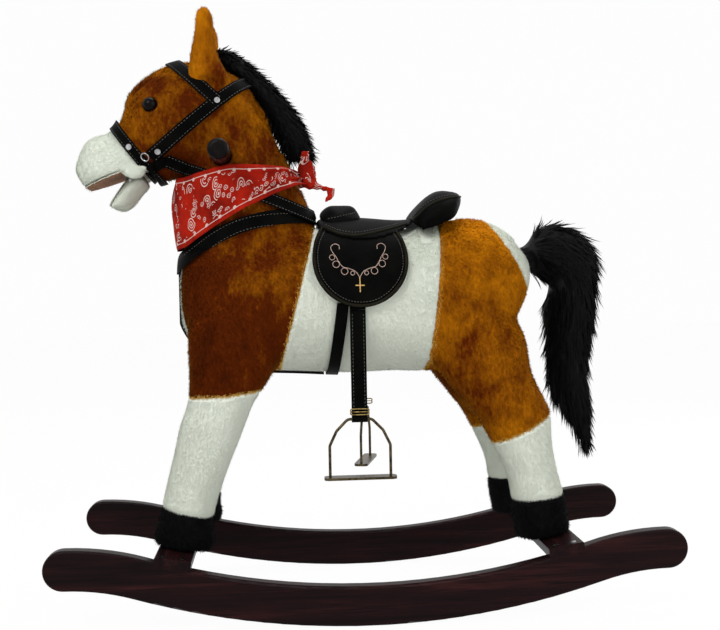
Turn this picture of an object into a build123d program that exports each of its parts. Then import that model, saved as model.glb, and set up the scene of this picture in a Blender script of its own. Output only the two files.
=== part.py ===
from build123d import *
from math import asin, cos, degrees, hypot, radians, sin, sqrt
import os

os.makedirs("parts", exist_ok=True)

# Plush rocking horse on two wooden rockers, in millimetres.
# The horse looks along -X, +Z is up, and its left side is -Y.

# Rockers and slats
ROCKER_LENGTH = 740.0
BASE_WIDTH = 280.0
ROCKER_THICKNESS = 18.0
ROCKER_DEPTH = 46.0
ROCKER_RADIUS = 900.0
REVERSE_ANGLE = 17.4
REST_FLAT = 36.0
EDGE_ROUND = 3.0
SLAT_WIDTH = 42.0
SLAT_THICKNESS = 12.0
SLAT_OFFSET = 225.0
SLAT_TILT = 9.0
SLAT_SEAT = 3.0
SCREW_HEAD = 8.0
SCREW_SHANK = 3.8
SCREW_LENGTH = 34.0
SCREW_SPACING = 20.0

# Wooden core
BOARD_THICKNESS = 15.0
BOARD_WIDTH = 84.0
BOARD_HEIGHT = 300.0
BOARD_HALF_LENGTH = 165.0
POST_DIAMETER = 26.0
NECK_POST_DEPTH = 44.0
NECK_POST_WIDTH = 28.0
HANDLE_DIAMETER = 25.0
HANDLE_LENGTH = 230.0
HANDLE_SHOULDER = 0.6
GRIP_LENGTH = 52.0
HANDLE_X = -166.0
HANDLE_HEIGHT = 463.0

# Leather, cloth and wire
STRAP_THICKNESS = 2.6
BRIDLE_WIDTH = 16.0
NOSEBAND_WIDTH = 13.0
REIN_WIDTH = 15.0
BREAST_WIDTH = 18.0
GIRTH_WIDTH = 14.0
FLAP_WIDTH = 114.0
FLAP_TOP_WIDTH = 90.0
FLAP_DROP = 98.0
FLAP_THICKNESS = 3.6
STIRRUP_STRAP_WIDTH = 18.5
STIRRUP_STRAP_THICKNESS = 4.2
STIRRUP_STRAP_X = -8.0
STIRRUP_PIVOT_HEIGHT = 273.0
STIRRUP_STRAP_DROP = 127.0
STIRRUP_WIRE = 3.4
STIRRUP_WIDTH = 72.0
STIRRUP_HEIGHT = 68.0
STIRRUP_ARCH = 31.0
STIRRUP_TREAD_LENGTH = 86.0
STIRRUP_TREAD_WIDTH = 18.0
STIRRUP_TREAD_THICKNESS = 3.0
RIGHT_STIRRUP_TWIST = 76.0
RIGHT_STIRRUP_LEAN = 20.0
RIGHT_STIRRUP_EXTRA = 10.0
EYE_DIAMETER = 18.0
STUD_DIAMETER = 7.0
RING_DIAMETER = 10.0
RING_WIRE = 1.8

# Clearances
SKIN_GAP = 0.3
RUNNING_GAP = 0.06
TURN_GAP = 0.6

# Heights of the horse are measured from the middle of the slat tops.
arc_drop = ROCKER_RADIUS - sqrt(ROCKER_RADIUS**2 - (REST_FLAT / 2) ** 2)
inner_radius = ROCKER_RADIUS - ROCKER_DEPTH
slat_top = ROCKER_RADIUS - arc_drop - sqrt(inner_radius**2 - SLAT_OFFSET**2)
STAND = slat_top - SLAT_SEAT + SLAT_THICKNESS

# Side views of the soft forms: upper or rear point, lower or front point, width
TORSO = [
    ((-221, 340), (-221, 262), 64),
    ((-209, 360), (-209, 236), 112),
    ((-184, 372), (-184, 215), 142),
    ((-140, 376), (-140, 201), 162),
    ((-60, 376), (-60, 196), 172),
    ((40, 375), (40, 195), 174),
    ((105, 383), (105, 196), 178),
    ((150, 385), (150, 212), 172),
    ((184, 371), (184, 240), 148),
    ((205, 352), (205, 272), 108),
    ((216, 332), (216, 300), 52),
]
NECK = [
    ((-46, 340), (-205, 300), 126),
    ((-56, 388), (-217, 350), 124),
    ((-74, 434), (-222, 408), 116),
    ((-90, 470), (-214, 448), 108),
    ((-106, 508), (-204, 474), 100),
    ((-130, 545), (-200, 500), 88),
]
FACE = [
    ((-128, 548), (-130, 478), 76),
    ((-156, 571), (-150, 459), 104),
    ((-188, 582), (-178, 449), 112),
    ((-220, 582), (-206, 442), 115),
    ((-256, 566), (-233, 437), 111),
    ((-284, 535), (-246, 435), 100),
    ((-301, 501), (-252, 437), 86),
    ((-322, 493), (-272, 420), 90),
    ((-338, 479), (-300, 418), 86),
    ((-345, 462), (-320, 420), 70),
    ((-347, 450), (-334, 428), 34),
]
JAW = [
    ((-264, 444), (-257, 430), 28),
    ((-283, 443), (-264, 422), 52),
    ((-299, 426), (-272, 412), 54),
    ((-307, 415), (-281, 403), 52),
    ((-309, 408), (-294, 400), 36),
]
MANE = [
    ((-176, 602), (-172, 578), 16),
    ((-148, 597), (-152, 556), 30),
    ((-112, 567), (-130, 530), 36),
    ((-82, 534), (-114, 508), 38),
    ((-61, 499), (-102, 482), 38),
    ((-52, 467), (-92, 459), 30),
]
TAIL = [
    ((196, 358), (196, 312), 40),
    ((222, 372), (226, 306), 50),
    ((264, 380), (240, 300), 62),
    ((299, 358), (237, 290), 66),
    ((311, 314), (235, 262), 66),
    ((303, 240), (236, 215), 58),
    ((297, 190), (240, 168), 52),
    ((300, 140), (258, 136), 42),
    ((299, 108), (274, 106), 24),
    ((295, 92), (288, 92), 8),
]

# The same for one side: upper or rear point, lower or front point, width, distance from the middle
EAR = [
    ((-156, 552), (-210, 556), 34, 38),
    ((-164, 578), (-203, 578), 31, 41),
    ((-169, 597), (-199, 597), 27, 43),
    ((-170, 613), (-196, 613), 24, 44),
    ((-171, 627), (-195, 627), 19, 45),
    ((-174, 637), (-192, 637), 13, 46),
    ((-179, 642), (-187, 642), 6, 46),
]
FRONT_LEG = [
    ((-112, 318), (-196, 318), 44, 36),
    ((-98, 270), (-209, 272), 70, 46),
    ((-98, 235), (-213, 240), 82, 53),
    ((-106, 203), (-211, 210), 84, 58),
    ((-122, 179), (-212, 175), 78, 61),
    ((-142, 142), (-222, 140), 72, 64),
    ((-161, 96), (-231, 101), 66, 67),
    ((-174, 62), (-240, 65), 62, 70),
    ((-181, 38), (-244, 48), 62, 71),
    ((-183, 18), (-251, 22), 68, 72),
    ((-186, -14), (-249, -14), 60, 72),
]
HIND_LEG = [
    ((172, 322), (88, 322), 56, 40),
    ((190, 282), (76, 282), 76, 46),
    ((200, 245), (76, 245), 86, 52),
    ((204, 213), (86, 205), 88, 57),
    ((211, 183), (102, 181), 86, 60),
    ((221, 165), (119, 160), 82, 63),
    ((226, 150), (134, 143), 78, 66),
    ((227, 120), (154, 108), 70, 69),
    ((233, 76), (170, 72), 64, 71),
    ((240, 49), (175, 47), 63, 72),
    ((246, 18), (177, 18), 68, 72),
    ((243, -14), (180, -14), 60, 72),
]

# Seams in side view, each a pair of points
SHOULDER_SEAM = ((-100, 204), (-56, 373))
FLANK_SEAM = ((78, 203), (98, 377))
RUMP_SEAM = ((209, 295), (161, 380))
NOSE_SEAM = ((-252, 437), (-301, 501))
MOUTH_LINE = ((-320, 432), (-288, 444))
FRONT_STOCKING_SEAM = ((-212, 174), (-122, 180))
FRONT_HOOF_SEAM = ((-244, 49), (-183, 34))
HIND_STOCKING_SEAM = ((153, 110), (224, 144))
HIND_HOOF_SEAM = ((175, 42), (241, 49))

# Turning axes
JAW_HINGE = (-278, 437)
TAIL_AXIS_X = 196.0
TAIL_ROOT = (313, 353)
TAIL_SWING = 15.0

# Lines of the tack in side view
JAW_LINE = ((-306, 407), (-288, 434))
EYE_PLACE = (-250, 525)
SADDLE_X = -3.0
FLAP_TOP = 376.0
POMMEL = [
    (-56, -26, 352, 28, 14),
    (-34, -24, 376, 42, 22),
    (0, -22, 390, 46, 28),
    (34, -24, 376, 42, 22),
    (56, -26, 352, 28, 14),
]
CANTLE = [
    (-64, 88, 374, 40, 22),
    (-42, 97, 393, 62, 34),
    (0, 101, 400, 68, 37),
    (42, 97, 393, 62, 34),
    (64, 88, 374, 40, 22),
]
CANTLE_TILT = 33.0
GIRTH_LINE = ((-25, 283), (-38, 180))
BREAST_LINE = ((-40, 388), (-146, 377), (-236, 322))
BROWBAND = ((-169, 527), (-228, 584))
POLL_STRAP = ((-169, 527), (-112, 572))
CHEEK_STRAP = ((-169, 527), (-250, 461))
NOSEBAND = ((-308, 518), (-238, 427))
REIN = ((-232, 457), (-52, 388))
STUDS = [(-169, 527), (-241, 468), (-275, 474), (-254, 447)]
RING = (-256, 462)
BANDANA = [(-240, 441), (-212, 439), (-156, 452), (-90, 451), (-60, 446),
           (-60, 428), (-77, 428), (-140, 397), (-212, 352), (-240, 345)]
BANDANA_THICKNESS = 6.5
KNOT = [
    ((-33, 410), (-43, 406), 5, 18),
    ((-42, 428), (-60, 424), 9, 17),
    ((-52, 438), (-74, 436), 20, 14),
    ((-52, 447), (-74, 449), 20, 14),
    ((-56, 456), (-72, 459), 10, 22),
    ((-58, 470), (-70, 470), 6, 27),
]


def at(point, y=0.0):
    """Place of a side-view point, with its height measured from the slat tops."""
    return (point[0], y, STAND + point[1])


def oval(width, depth):
    """Oval of four tangent quarter arcs in the current sketch."""
    a = width / 2
    b = depth / 2
    side = b + (b - a) * sqrt(0.5)
    end = a + (a - b) * sqrt(0.5)
    with BuildLine() as outline:
        CenterArc((a - side, 0), side, -45, 90)
        CenterArc((0, b - end), end, 45, 90)
        CenterArc((side - a, 0), side, 135, 90)
        CenterArc((0, end - b), end, 225, 90)
    make_face(outline.edges())


def stuffed(sections, grow=0.0):
    """Soft form through ovals that stand across its side view, or the same form grown all round."""
    with BuildPart() as form:
        last = len(sections) - 1
        for index, (upper, lower, width, *aside) in enumerate(sections):
            y = -aside[0] if aside else 0.0
            middle = ((upper[0] + lower[0]) / 2, (upper[1] + lower[1]) / 2)
            rise = (upper[0] - lower[0], upper[1] - lower[1])
            plane = Plane(at(middle, y), x_dir=(0, 1, 0), z_dir=(rise[1], 0, -rise[0]))
            if index in (0, last):
                beside = sections[1] if index == 0 else sections[last - 1]
                outward = (upper[0] - beside[0][0]) * rise[1] - (upper[1] - beside[0][1]) * rise[0]
                plane = plane.offset(grow if outward > 0 else -grow)
            with BuildSketch(plane):
                oval(width + 2 * grow, hypot(*rise) + 2 * grow)
        loft()
    return form.part


def seam(points):
    """Upright plane across the horse through two side-view points; its far side is on the left
    when going from the first point to the second."""
    (x1, h1), (x2, h2) = points
    return Plane(at(points[0]), x_dir=(0, 1, 0), z_dir=(h1 - h2, 0, x2 - x1))


def box(x1, x2, y1, y2, h1, h2):
    """Box between two places, heights from the slat tops."""
    with BuildPart() as block:
        with BuildSketch(Plane(at(((x1 + x2) / 2, h1), (y1 + y2) / 2))):
            Rectangle(x2 - x1, y2 - y1)
        extrude(amount=h2 - h1)
    return block.part


def band(start, finish, width, reach=140.0):
    """Straight band between two side-view points, carried right across the horse."""
    run = (finish[0] - start[0], finish[1] - start[1])
    middle = ((start[0] + finish[0]) / 2, (start[1] + finish[1]) / 2)
    with BuildPart() as strip:
        with BuildSketch(Plane(at(middle), x_dir=(run[0], 0, run[1]), z_dir=(0, -1, 0))):
            Rectangle(hypot(*run), width)
        extrude(amount=reach, both=True)
    return strip.part


def slat_plane(side, along=0.0, y=0.0, depth=0.0):
    """Plane on a slat's top; side is -1 in front and 1 behind."""
    t = radians(SLAT_TILT)
    x = side * SLAT_OFFSET + along * cos(t) + side * depth * sin(t)
    z = STAND + side * along * sin(t) - depth * cos(t)
    return Plane((x, y, z), x_dir=(cos(t), 0, side * sin(t)), z_dir=(-side * sin(t), 0, cos(t)))


def hand_over(piece, label):
    """Name a piece and write it out."""
    piece.part.label = label
    export_step(piece.part, f"parts/{label}.step")


# Soft forms in one piece, before they are parted at their seams
torso_form = stuffed(TORSO)
torso_skin = stuffed(TORSO, SKIN_GAP)
torso_strap = stuffed(TORSO, SKIN_GAP + STRAP_THICKNESS)
neck_form = stuffed(NECK)
face_form = stuffed(FACE)
face_skin = stuffed(FACE, SKIN_GAP)
face_strap = stuffed(FACE, SKIN_GAP + STRAP_THICKNESS)
with BuildPart() as front_form:
    add(torso_form)
    add(neck_form)
with BuildPart() as front_skin:
    add(torso_skin)
    add(stuffed(NECK, SKIN_GAP))
with BuildPart() as front_strap:
    add(torso_strap)
    add(stuffed(NECK, SKIN_GAP + STRAP_THICKNESS))

# Front and rear slat, lying in shallow seats on the rockers
with BuildPart() as front_slat:
    with BuildSketch(slat_plane(-1)):
        Rectangle(SLAT_WIDTH, BASE_WIDTH)
    extrude(amount=-SLAT_THICKNESS)
    fillet(front_slat.edges().filter_by(Axis.Y).sort_by(Axis.Z)[-2:], radius=1.5)
with BuildPart() as rear_slat:
    mirror(front_slat.part, about=Plane.YZ)

# Countersunk screws, two through each slat end into the rocker
with BuildPart() as slat_screws:
    for side in (-1, 1):
        for y in (-1, 1):
            for along in (-SCREW_SPACING / 2, SCREW_SPACING / 2):
                place = slat_plane(side, along, y * (BASE_WIDTH - ROCKER_THICKNESS) / 2)
                sink = (SCREW_HEAD - SCREW_SHANK) / 2
                with BuildSketch(place):
                    Circle(SCREW_HEAD / 2)
                with BuildSketch(place.offset(-sink)):
                    Circle(SCREW_SHANK / 2)
                loft()
                with BuildSketch(place.offset(-sink)):
                    Circle(SCREW_SHANK / 2)
                extrude(amount=sink - SCREW_LENGTH)

# Pan-head screws from under each slat into the leg posts
foot_y = FRONT_LEG[-1][3]
with BuildPart() as foot_screws:
    for side in (-1, 1):
        for y in (-foot_y, foot_y):
            place = slat_plane(side, 0, y, SLAT_THICKNESS)
            with BuildSketch(place):
                Circle(SCREW_HEAD / 2 + 1)
            extrude(amount=-3)
            with BuildSketch(place):
                Circle(SCREW_SHANK / 2 + 0.4)
            extrude(amount=SLAT_THICKNESS + 24)

# Rockers: an even bar bent on the rocking arc, levelled off to round ends
with BuildPart() as rocker_left:
    with BuildSketch(Plane.XZ.offset(BASE_WIDTH / 2 - ROCKER_THICKNESS)):
        with BuildLine():
            flat_angle = degrees(asin(REST_FLAT / 2 / ROCKER_RADIUS))
            sweep_angle = REVERSE_ANGLE - flat_angle
            reach = (ROCKER_LENGTH - ROCKER_DEPTH) / 2
            reverse = reach / sin(radians(REVERSE_ANGLE)) - ROCKER_RADIUS
            rest = Line((0, 0), (REST_FLAT / 2, 0))
            start = (cos(radians(flat_angle)), sin(radians(flat_angle)))
            run = JernArc(rest @ 1, start, ROCKER_RADIUS, sweep_angle)
            level = JernArc(run @ 1, run % 1, reverse, -REVERSE_ANGLE)
            nose = JernArc(level @ 1, level % 1, ROCKER_DEPTH / 2, 180)
            back = JernArc(nose @ 1, nose % 1, reverse + ROCKER_DEPTH, REVERSE_ANGLE)
            JernArc(back @ 1, back % 1, inner_radius, -REVERSE_ANGLE)
            mirror(about=Plane.YZ)
        make_face()
    extrude(amount=ROCKER_THICKNESS)
    arris = rocker_left.edges().filter_by(Axis.Y, reverse=True)
    fillet(arris.filter_by(lambda e: e.center().Z > ROCKER_DEPTH * 0.7), radius=EDGE_ROUND)
    add(front_slat.part, mode=Mode.SUBTRACT)
    add(rear_slat.part, mode=Mode.SUBTRACT)
    add(slat_screws.part, mode=Mode.SUBTRACT)
with BuildPart() as rocker_right:
    mirror(rocker_left.part, about=Plane.XZ)
for slat in (front_slat, rear_slat):
    with slat:
        add(slat_screws.part, mode=Mode.SUBTRACT)
        add(foot_screws.part, mode=Mode.SUBTRACT)

# Spine board, leg posts and neck post
with BuildPart() as spine_board:
    add(box(HANDLE_X - 26, BOARD_HALF_LENGTH, -BOARD_WIDTH / 2, BOARD_WIDTH / 2,
            BOARD_HEIGHT, BOARD_HEIGHT + BOARD_THICKNESS))
with BuildPart() as leg_posts:
    for side in (-1, 1):
        for y in (-1, 1):
            foot = Vector(side * SLAT_OFFSET, y * foot_y, STAND)
            top = Vector(side * 150, y * 27, STAND + BOARD_HEIGHT)
            lean = (top - foot).normalized()
            with BuildSketch(Plane(foot - lean * 20, z_dir=lean)):
                Circle(POST_DIAMETER / 2)
            extrude(amount=(top - foot).length + 40)
    split(bisect_by=Plane(at((0, BOARD_HEIGHT))), keep=Keep.BOTTOM)
    split(bisect_by=slat_plane(-1), keep=Keep.TOP)
    split(bisect_by=slat_plane(1), keep=Keep.TOP)
    add(foot_screws.part, mode=Mode.SUBTRACT)
with BuildPart() as handle_bar:
    across = Plane(at((HANDLE_X, HANDLE_HEIGHT)), z_dir=(0, 1, 0))
    with BuildSketch(across):
        Circle(HANDLE_DIAMETER / 2)
    extrude(amount=HANDLE_LENGTH / 2, both=True)
    fillet(handle_bar.edges().filter_by(GeomType.CIRCLE), radius=6)
    with BuildSketch(across):
        Circle(HANDLE_DIAMETER / 2 + 1)
        Circle(HANDLE_DIAMETER / 2 - HANDLE_SHOULDER, mode=Mode.SUBTRACT)
    extrude(amount=HANDLE_LENGTH / 2 - GRIP_LENGTH, both=True, mode=Mode.SUBTRACT)
with BuildPart() as neck_post:
    add(box(HANDLE_X - NECK_POST_DEPTH / 2, HANDLE_X + NECK_POST_DEPTH / 2,
            -NECK_POST_WIDTH / 2, NECK_POST_WIDTH / 2,
            BOARD_HEIGHT + BOARD_THICKNESS, HANDLE_HEIGHT + 55))
    add(handle_bar.part, mode=Mode.SUBTRACT)

# Sound box under the board, and the two gear motors with their spindles
with BuildPart() as sound_box:
    add(box(-40, 40, -28, 28, BOARD_HEIGHT - 46, BOARD_HEIGHT))
    fillet(sound_box.edges().filter_by(Axis.Z), radius=4)
jaw_x, jaw_h = JAW_HINGE
jaw_across = Plane(at(JAW_HINGE), z_dir=(0, 1, 0))
with BuildPart() as jaw_spindle:
    with BuildSketch(jaw_across):
        Circle(2)
    extrude(amount=22, both=True)
with BuildPart() as jaw_motor:
    with BuildSketch(jaw_across):
        Circle(8)
    extrude(amount=10, both=True)
    add(box(jaw_x - 6, jaw_x + 6, -9, 9, jaw_h, jaw_h + 32))
    add(box(jaw_x - 12, jaw_x + 28, -12, 12, jaw_h + 32, jaw_h + 55))
    with BuildSketch(jaw_across):
        Circle(2 + RUNNING_GAP)
    extrude(amount=12, both=True, mode=Mode.SUBTRACT)
low, high = TAIL_ROOT
with BuildPart() as tail_spindle:
    with BuildSketch(Plane(at((TAIL_AXIS_X, low - 22)))):
        Circle(3)
    extrude(amount=high - low + 18)
    add(box(TAIL_AXIS_X, TAIL_AXIS_X + 68, -5, 5, low + 14, low + 26))
with BuildPart() as tail_motor:
    add(box(TAIL_AXIS_X - 26, TAIL_AXIS_X + 8, -16, 16, low - 42, low - 2))
    with BuildSketch(Plane(at((TAIL_AXIS_X, low - 24)))):
        Circle(3 + RUNNING_GAP)
    extrude(amount=30, mode=Mode.SUBTRACT)
with BuildPart() as ear_switch:
    with BuildSketch(Plane(at((-184, 585), -43.5), z_dir=(0, 1, 0))):
        Circle(7)
    extrude(amount=3)

# Trunk, parted at the shoulder, flank and rump seams
core = (spine_board, leg_posts, neck_post, sound_box, tail_motor)
with BuildPart() as tail_socket:
    with BuildSketch(Plane(at((TAIL_AXIS_X, low - TURN_GAP)))):
        Circle(24)
    extrude(amount=high - low + 2 * TURN_GAP)
with BuildPart() as tail_root:
    with BuildSketch(Plane(at((TAIL_AXIS_X, low)))):
        Circle(24 - TURN_GAP)
    extrude(amount=high - low)
with BuildPart() as trunk:
    add(torso_form)
    for piece in core:
        add(piece.part, mode=Mode.SUBTRACT)
    add(tail_socket.part, mode=Mode.SUBTRACT)
    add(tail_spindle.part, mode=Mode.SUBTRACT)
with BuildPart() as forequarter:
    add(trunk.part)
    split(bisect_by=seam(SHOULDER_SEAM), keep=Keep.TOP)
with BuildPart() as barrel:
    add(trunk.part)
    split(bisect_by=seam(SHOULDER_SEAM), keep=Keep.BOTTOM)
    split(bisect_by=seam(FLANK_SEAM), keep=Keep.TOP)
with BuildPart() as hindquarter:
    add(trunk.part)
    split(bisect_by=seam(FLANK_SEAM), keep=Keep.BOTTOM)
    split(bisect_by=seam(RUMP_SEAM), keep=Keep.TOP)
with BuildPart() as rump:
    add(trunk.part)
    split(bisect_by=seam(RUMP_SEAM), keep=Keep.BOTTOM)

# Neck and head
with BuildPart() as neck:
    add(neck_form)
    for form in (torso_form, face_form, neck_post.part, handle_bar.part, spine_board.part):
        add(form, mode=Mode.SUBTRACT)
with BuildPart() as skull:
    add(face_form)
    for piece in (neck_post, handle_bar, jaw_motor, jaw_spindle):
        add(piece.part, mode=Mode.SUBTRACT)
with BuildPart() as snout:
    add(skull.part)
    split(bisect_by=seam(NOSE_SEAM), keep=Keep.TOP)
    split(bisect_by=seam(MOUTH_LINE), keep=Keep.TOP)
with BuildPart() as muzzle:
    add(snout.part)
    split(bisect_by=seam(MOUTH_LINE).offset(1.6), keep=Keep.TOP)
with BuildPart() as palate_lining:
    add(snout.part)
    split(bisect_by=seam(MOUTH_LINE).offset(1.6), keep=Keep.BOTTOM)

# Lower jaw, hung on the spindle of its motor
with BuildPart() as jaw_form:
    add(stuffed(JAW))
    with BuildSketch(jaw_across):
        Circle(13)
    extrude(amount=10.6, both=True, mode=Mode.SUBTRACT)
    add(jaw_spindle.part, mode=Mode.SUBTRACT)
    split(bisect_by=seam(JAW_LINE), keep=Keep.BOTTOM)
with BuildPart() as lower_jaw:
    add(jaw_form.part)
    split(bisect_by=seam(JAW_LINE).offset(-1.6), keep=Keep.BOTTOM)
with BuildPart() as jaw_lining:
    add(jaw_form.part)
    split(bisect_by=seam(JAW_LINE).offset(-1.6), keep=Keep.TOP)

# Eyes
with BuildPart() as eyes:
    for side in (-1, 1):
        sight = Axis(at(EYE_PLACE), (0, side, 0))
        spot, outward = max(face_form.find_intersection_points(sight), key=lambda p: side * p[0].Y)
        with Locations(spot - outward * EYE_DIAMETER * 0.22):
            Sphere(EYE_DIAMETER / 2)
with BuildPart() as head:
    add(skull.part)
    split(bisect_by=seam(NOSE_SEAM), keep=Keep.BOTTOM)
    add(eyes.part, mode=Mode.SUBTRACT)

# Legs: one loft each, parted at the stocking and hoof seams
leg_pieces = {}
for name, sections, side, seams in (
    ("front", FRONT_LEG, -1, (FRONT_STOCKING_SEAM, FRONT_HOOF_SEAM)),
    ("hind", HIND_LEG, 1, (HIND_STOCKING_SEAM, HIND_HOOF_SEAM)),
):
    with BuildPart() as whole:
        add(stuffed(sections))
        split(bisect_by=slat_plane(side), keep=Keep.TOP)
        for form in (torso_form, leg_posts.part, spine_board.part, foot_screws.part):
            add(form, mode=Mode.SUBTRACT)
    with BuildPart() as limb:
        add(whole.part.solids().sort_by(SortBy.VOLUME)[-1])
    upper, lower = [seam(points) for points in seams]
    with BuildPart() as leg:
        add(limb.part)
        split(bisect_by=upper, keep=Keep.TOP)
    with BuildPart() as stocking:
        add(limb.part)
        split(bisect_by=upper, keep=Keep.BOTTOM)
        split(bisect_by=lower, keep=Keep.TOP)
    with BuildPart() as hoof:
        add(limb.part)
        split(bisect_by=lower, keep=Keep.BOTTOM)
    with BuildPart() as right_leg:
        mirror(leg.part, about=Plane.XZ)
    with stocking:
        mirror(stocking.part, about=Plane.XZ)
    with hoof:
        mirror(hoof.part, about=Plane.XZ)
    leg_pieces[f"{name}_leg_left"] = leg
    leg_pieces[f"{name}_leg_right"] = right_leg
    leg_pieces[f"{name}_stockings"] = stocking
    leg_pieces[f"{name}_hooves"] = hoof

# Saddle: flaps over the stirrup billets, seat over the flaps, pommel and cantle on the seat
billet_outer = SKIN_GAP + STIRRUP_STRAP_THICKNESS
flap_inner = stuffed(TORSO, billet_outer + SKIN_GAP)
flap_outer = stuffed(TORSO, billet_outer + SKIN_GAP + FLAP_THICKNESS)
seat_outer = stuffed(TORSO, billet_outer + SKIN_GAP + FLAP_THICKNESS + 2)
with BuildPart() as saddle_flap_left:
    with BuildSketch(Plane.XZ.offset(30)):
        with BuildLine():
            half = FLAP_WIDTH / 2
            low_h = STAND + FLAP_TOP - FLAP_DROP + half
            top_half = FLAP_TOP_WIDTH / 2
            rise = STAND + FLAP_TOP - low_h
            side_radius = (rise**2 + (half - top_half) ** 2) / (2 * (half - top_half))
            bulge = half - side_radius + sqrt(side_radius**2 - rise**2 / 4)
            ThreePointArc((SADDLE_X - half, low_h), (SADDLE_X - bulge, low_h + rise / 2),
                          (SADDLE_X - top_half, low_h + rise))
            Line((SADDLE_X - top_half, low_h + rise), (SADDLE_X + top_half, low_h + rise))
            ThreePointArc((SADDLE_X + top_half, low_h + rise), (SADDLE_X + bulge, low_h + rise / 2),
                          (SADDLE_X + half, low_h))
            ThreePointArc((SADDLE_X + half, low_h), (SADDLE_X, low_h - half), (SADDLE_X - half, low_h))
        make_face()
    extrude(amount=120)
    add(flap_outer, mode=Mode.INTERSECT)
    add(flap_inner, mode=Mode.SUBTRACT)
with BuildPart() as saddle_flap_right:
    mirror(saddle_flap_left.part, about=Plane.XZ)
with BuildPart() as stirrup_billets:
    half = STIRRUP_STRAP_WIDTH / 2
    add(box(STIRRUP_STRAP_X - half, STIRRUP_STRAP_X + half, -130, 130,
            STIRRUP_PIVOT_HEIGHT + STIRRUP_STRAP_THICKNESS / 2 + SKIN_GAP, FLAP_TOP - 4))
    add(stuffed(TORSO, billet_outer), mode=Mode.INTERSECT)
    add(torso_skin, mode=Mode.SUBTRACT)
with BuildPart() as saddle_seat:
    with BuildSketch(Plane.XZ):
        with BuildLine():
            edge = ThreePointArc((-52, STAND + 374), (-20, STAND + 361), (72, STAND + 384))
            Polyline(edge @ 1, (72, STAND + 430), (-52, STAND + 430), edge @ 0)
        make_face()
    extrude(amount=80, both=True)
    add(seat_outer, mode=Mode.INTERSECT)
    add(torso_skin, mode=Mode.SUBTRACT)
    for piece in (saddle_flap_left, saddle_flap_right, stirrup_billets):
        add(piece.part, mode=Mode.SUBTRACT)


def roll(sections, tilt):
    """Padded roll across the saddle through ovals at different distances from the middle."""
    t = radians(tilt)
    with BuildPart() as form:
        for y, x, h, length, thickness in sections:
            with BuildSketch(Plane(at((x, h), y), x_dir=(cos(t), 0, sin(t)), z_dir=(0, -1, 0))):
                oval(length, thickness)
        loft()
    return form.part


with BuildPart() as pommel:
    add(roll(POMMEL, 0))
    add(seat_outer, mode=Mode.SUBTRACT)
with BuildPart() as cantle:
    add(roll(CANTLE, CANTLE_TILT))
    add(seat_outer, mode=Mode.SUBTRACT)

# Girth, breast strap and chest strap
with BuildPart() as girth:
    add(band(GIRTH_LINE[0], GIRTH_LINE[1], GIRTH_WIDTH))
    add(torso_strap, mode=Mode.INTERSECT)
    add(torso_skin, mode=Mode.SUBTRACT)
with BuildPart() as breast_strap:
    with BuildSketch(Plane.XZ):
        with BuildLine():
            ThreePointArc(*[(x, STAND + h) for x, h in BREAST_LINE])
        trace(line_width=BREAST_WIDTH)
    extrude(amount=120, both=True)
    add(front_strap.part, mode=Mode.INTERSECT)
    add(front_skin.part, mode=Mode.SUBTRACT)
    add(saddle_seat.part, mode=Mode.SUBTRACT)
with BuildPart() as chest_strap:
    add(box(-240, GIRTH_LINE[1][0] - 8, -8, 8, 150, 321))
    add(torso_strap, mode=Mode.INTERSECT)
    add(torso_skin, mode=Mode.SUBTRACT)

# Bridle
with BuildPart() as browband:
    add(band(BROWBAND[0], BROWBAND[1], BRIDLE_WIDTH))
    add(face_strap, mode=Mode.INTERSECT)
    add(face_skin, mode=Mode.SUBTRACT)
with BuildPart() as poll_strap:
    add(band(POLL_STRAP[0], POLL_STRAP[1], BRIDLE_WIDTH))
    add(face_strap, mode=Mode.INTERSECT)
    add(face_skin, mode=Mode.SUBTRACT)
    add(browband.part, mode=Mode.SUBTRACT)
with BuildPart() as noseband:
    add(band(NOSEBAND[0], NOSEBAND[1], NOSEBAND_WIDTH))
    add(face_strap, mode=Mode.INTERSECT)
    add(face_skin, mode=Mode.SUBTRACT)
with BuildPart() as cheek_straps:
    add(band(CHEEK_STRAP[0], CHEEK_STRAP[1], BRIDLE_WIDTH))
    add(face_strap, mode=Mode.INTERSECT)
    add(face_skin, mode=Mode.SUBTRACT)
    for piece in (browband, poll_strap, noseband):
        add(piece.part, mode=Mode.SUBTRACT)
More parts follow.
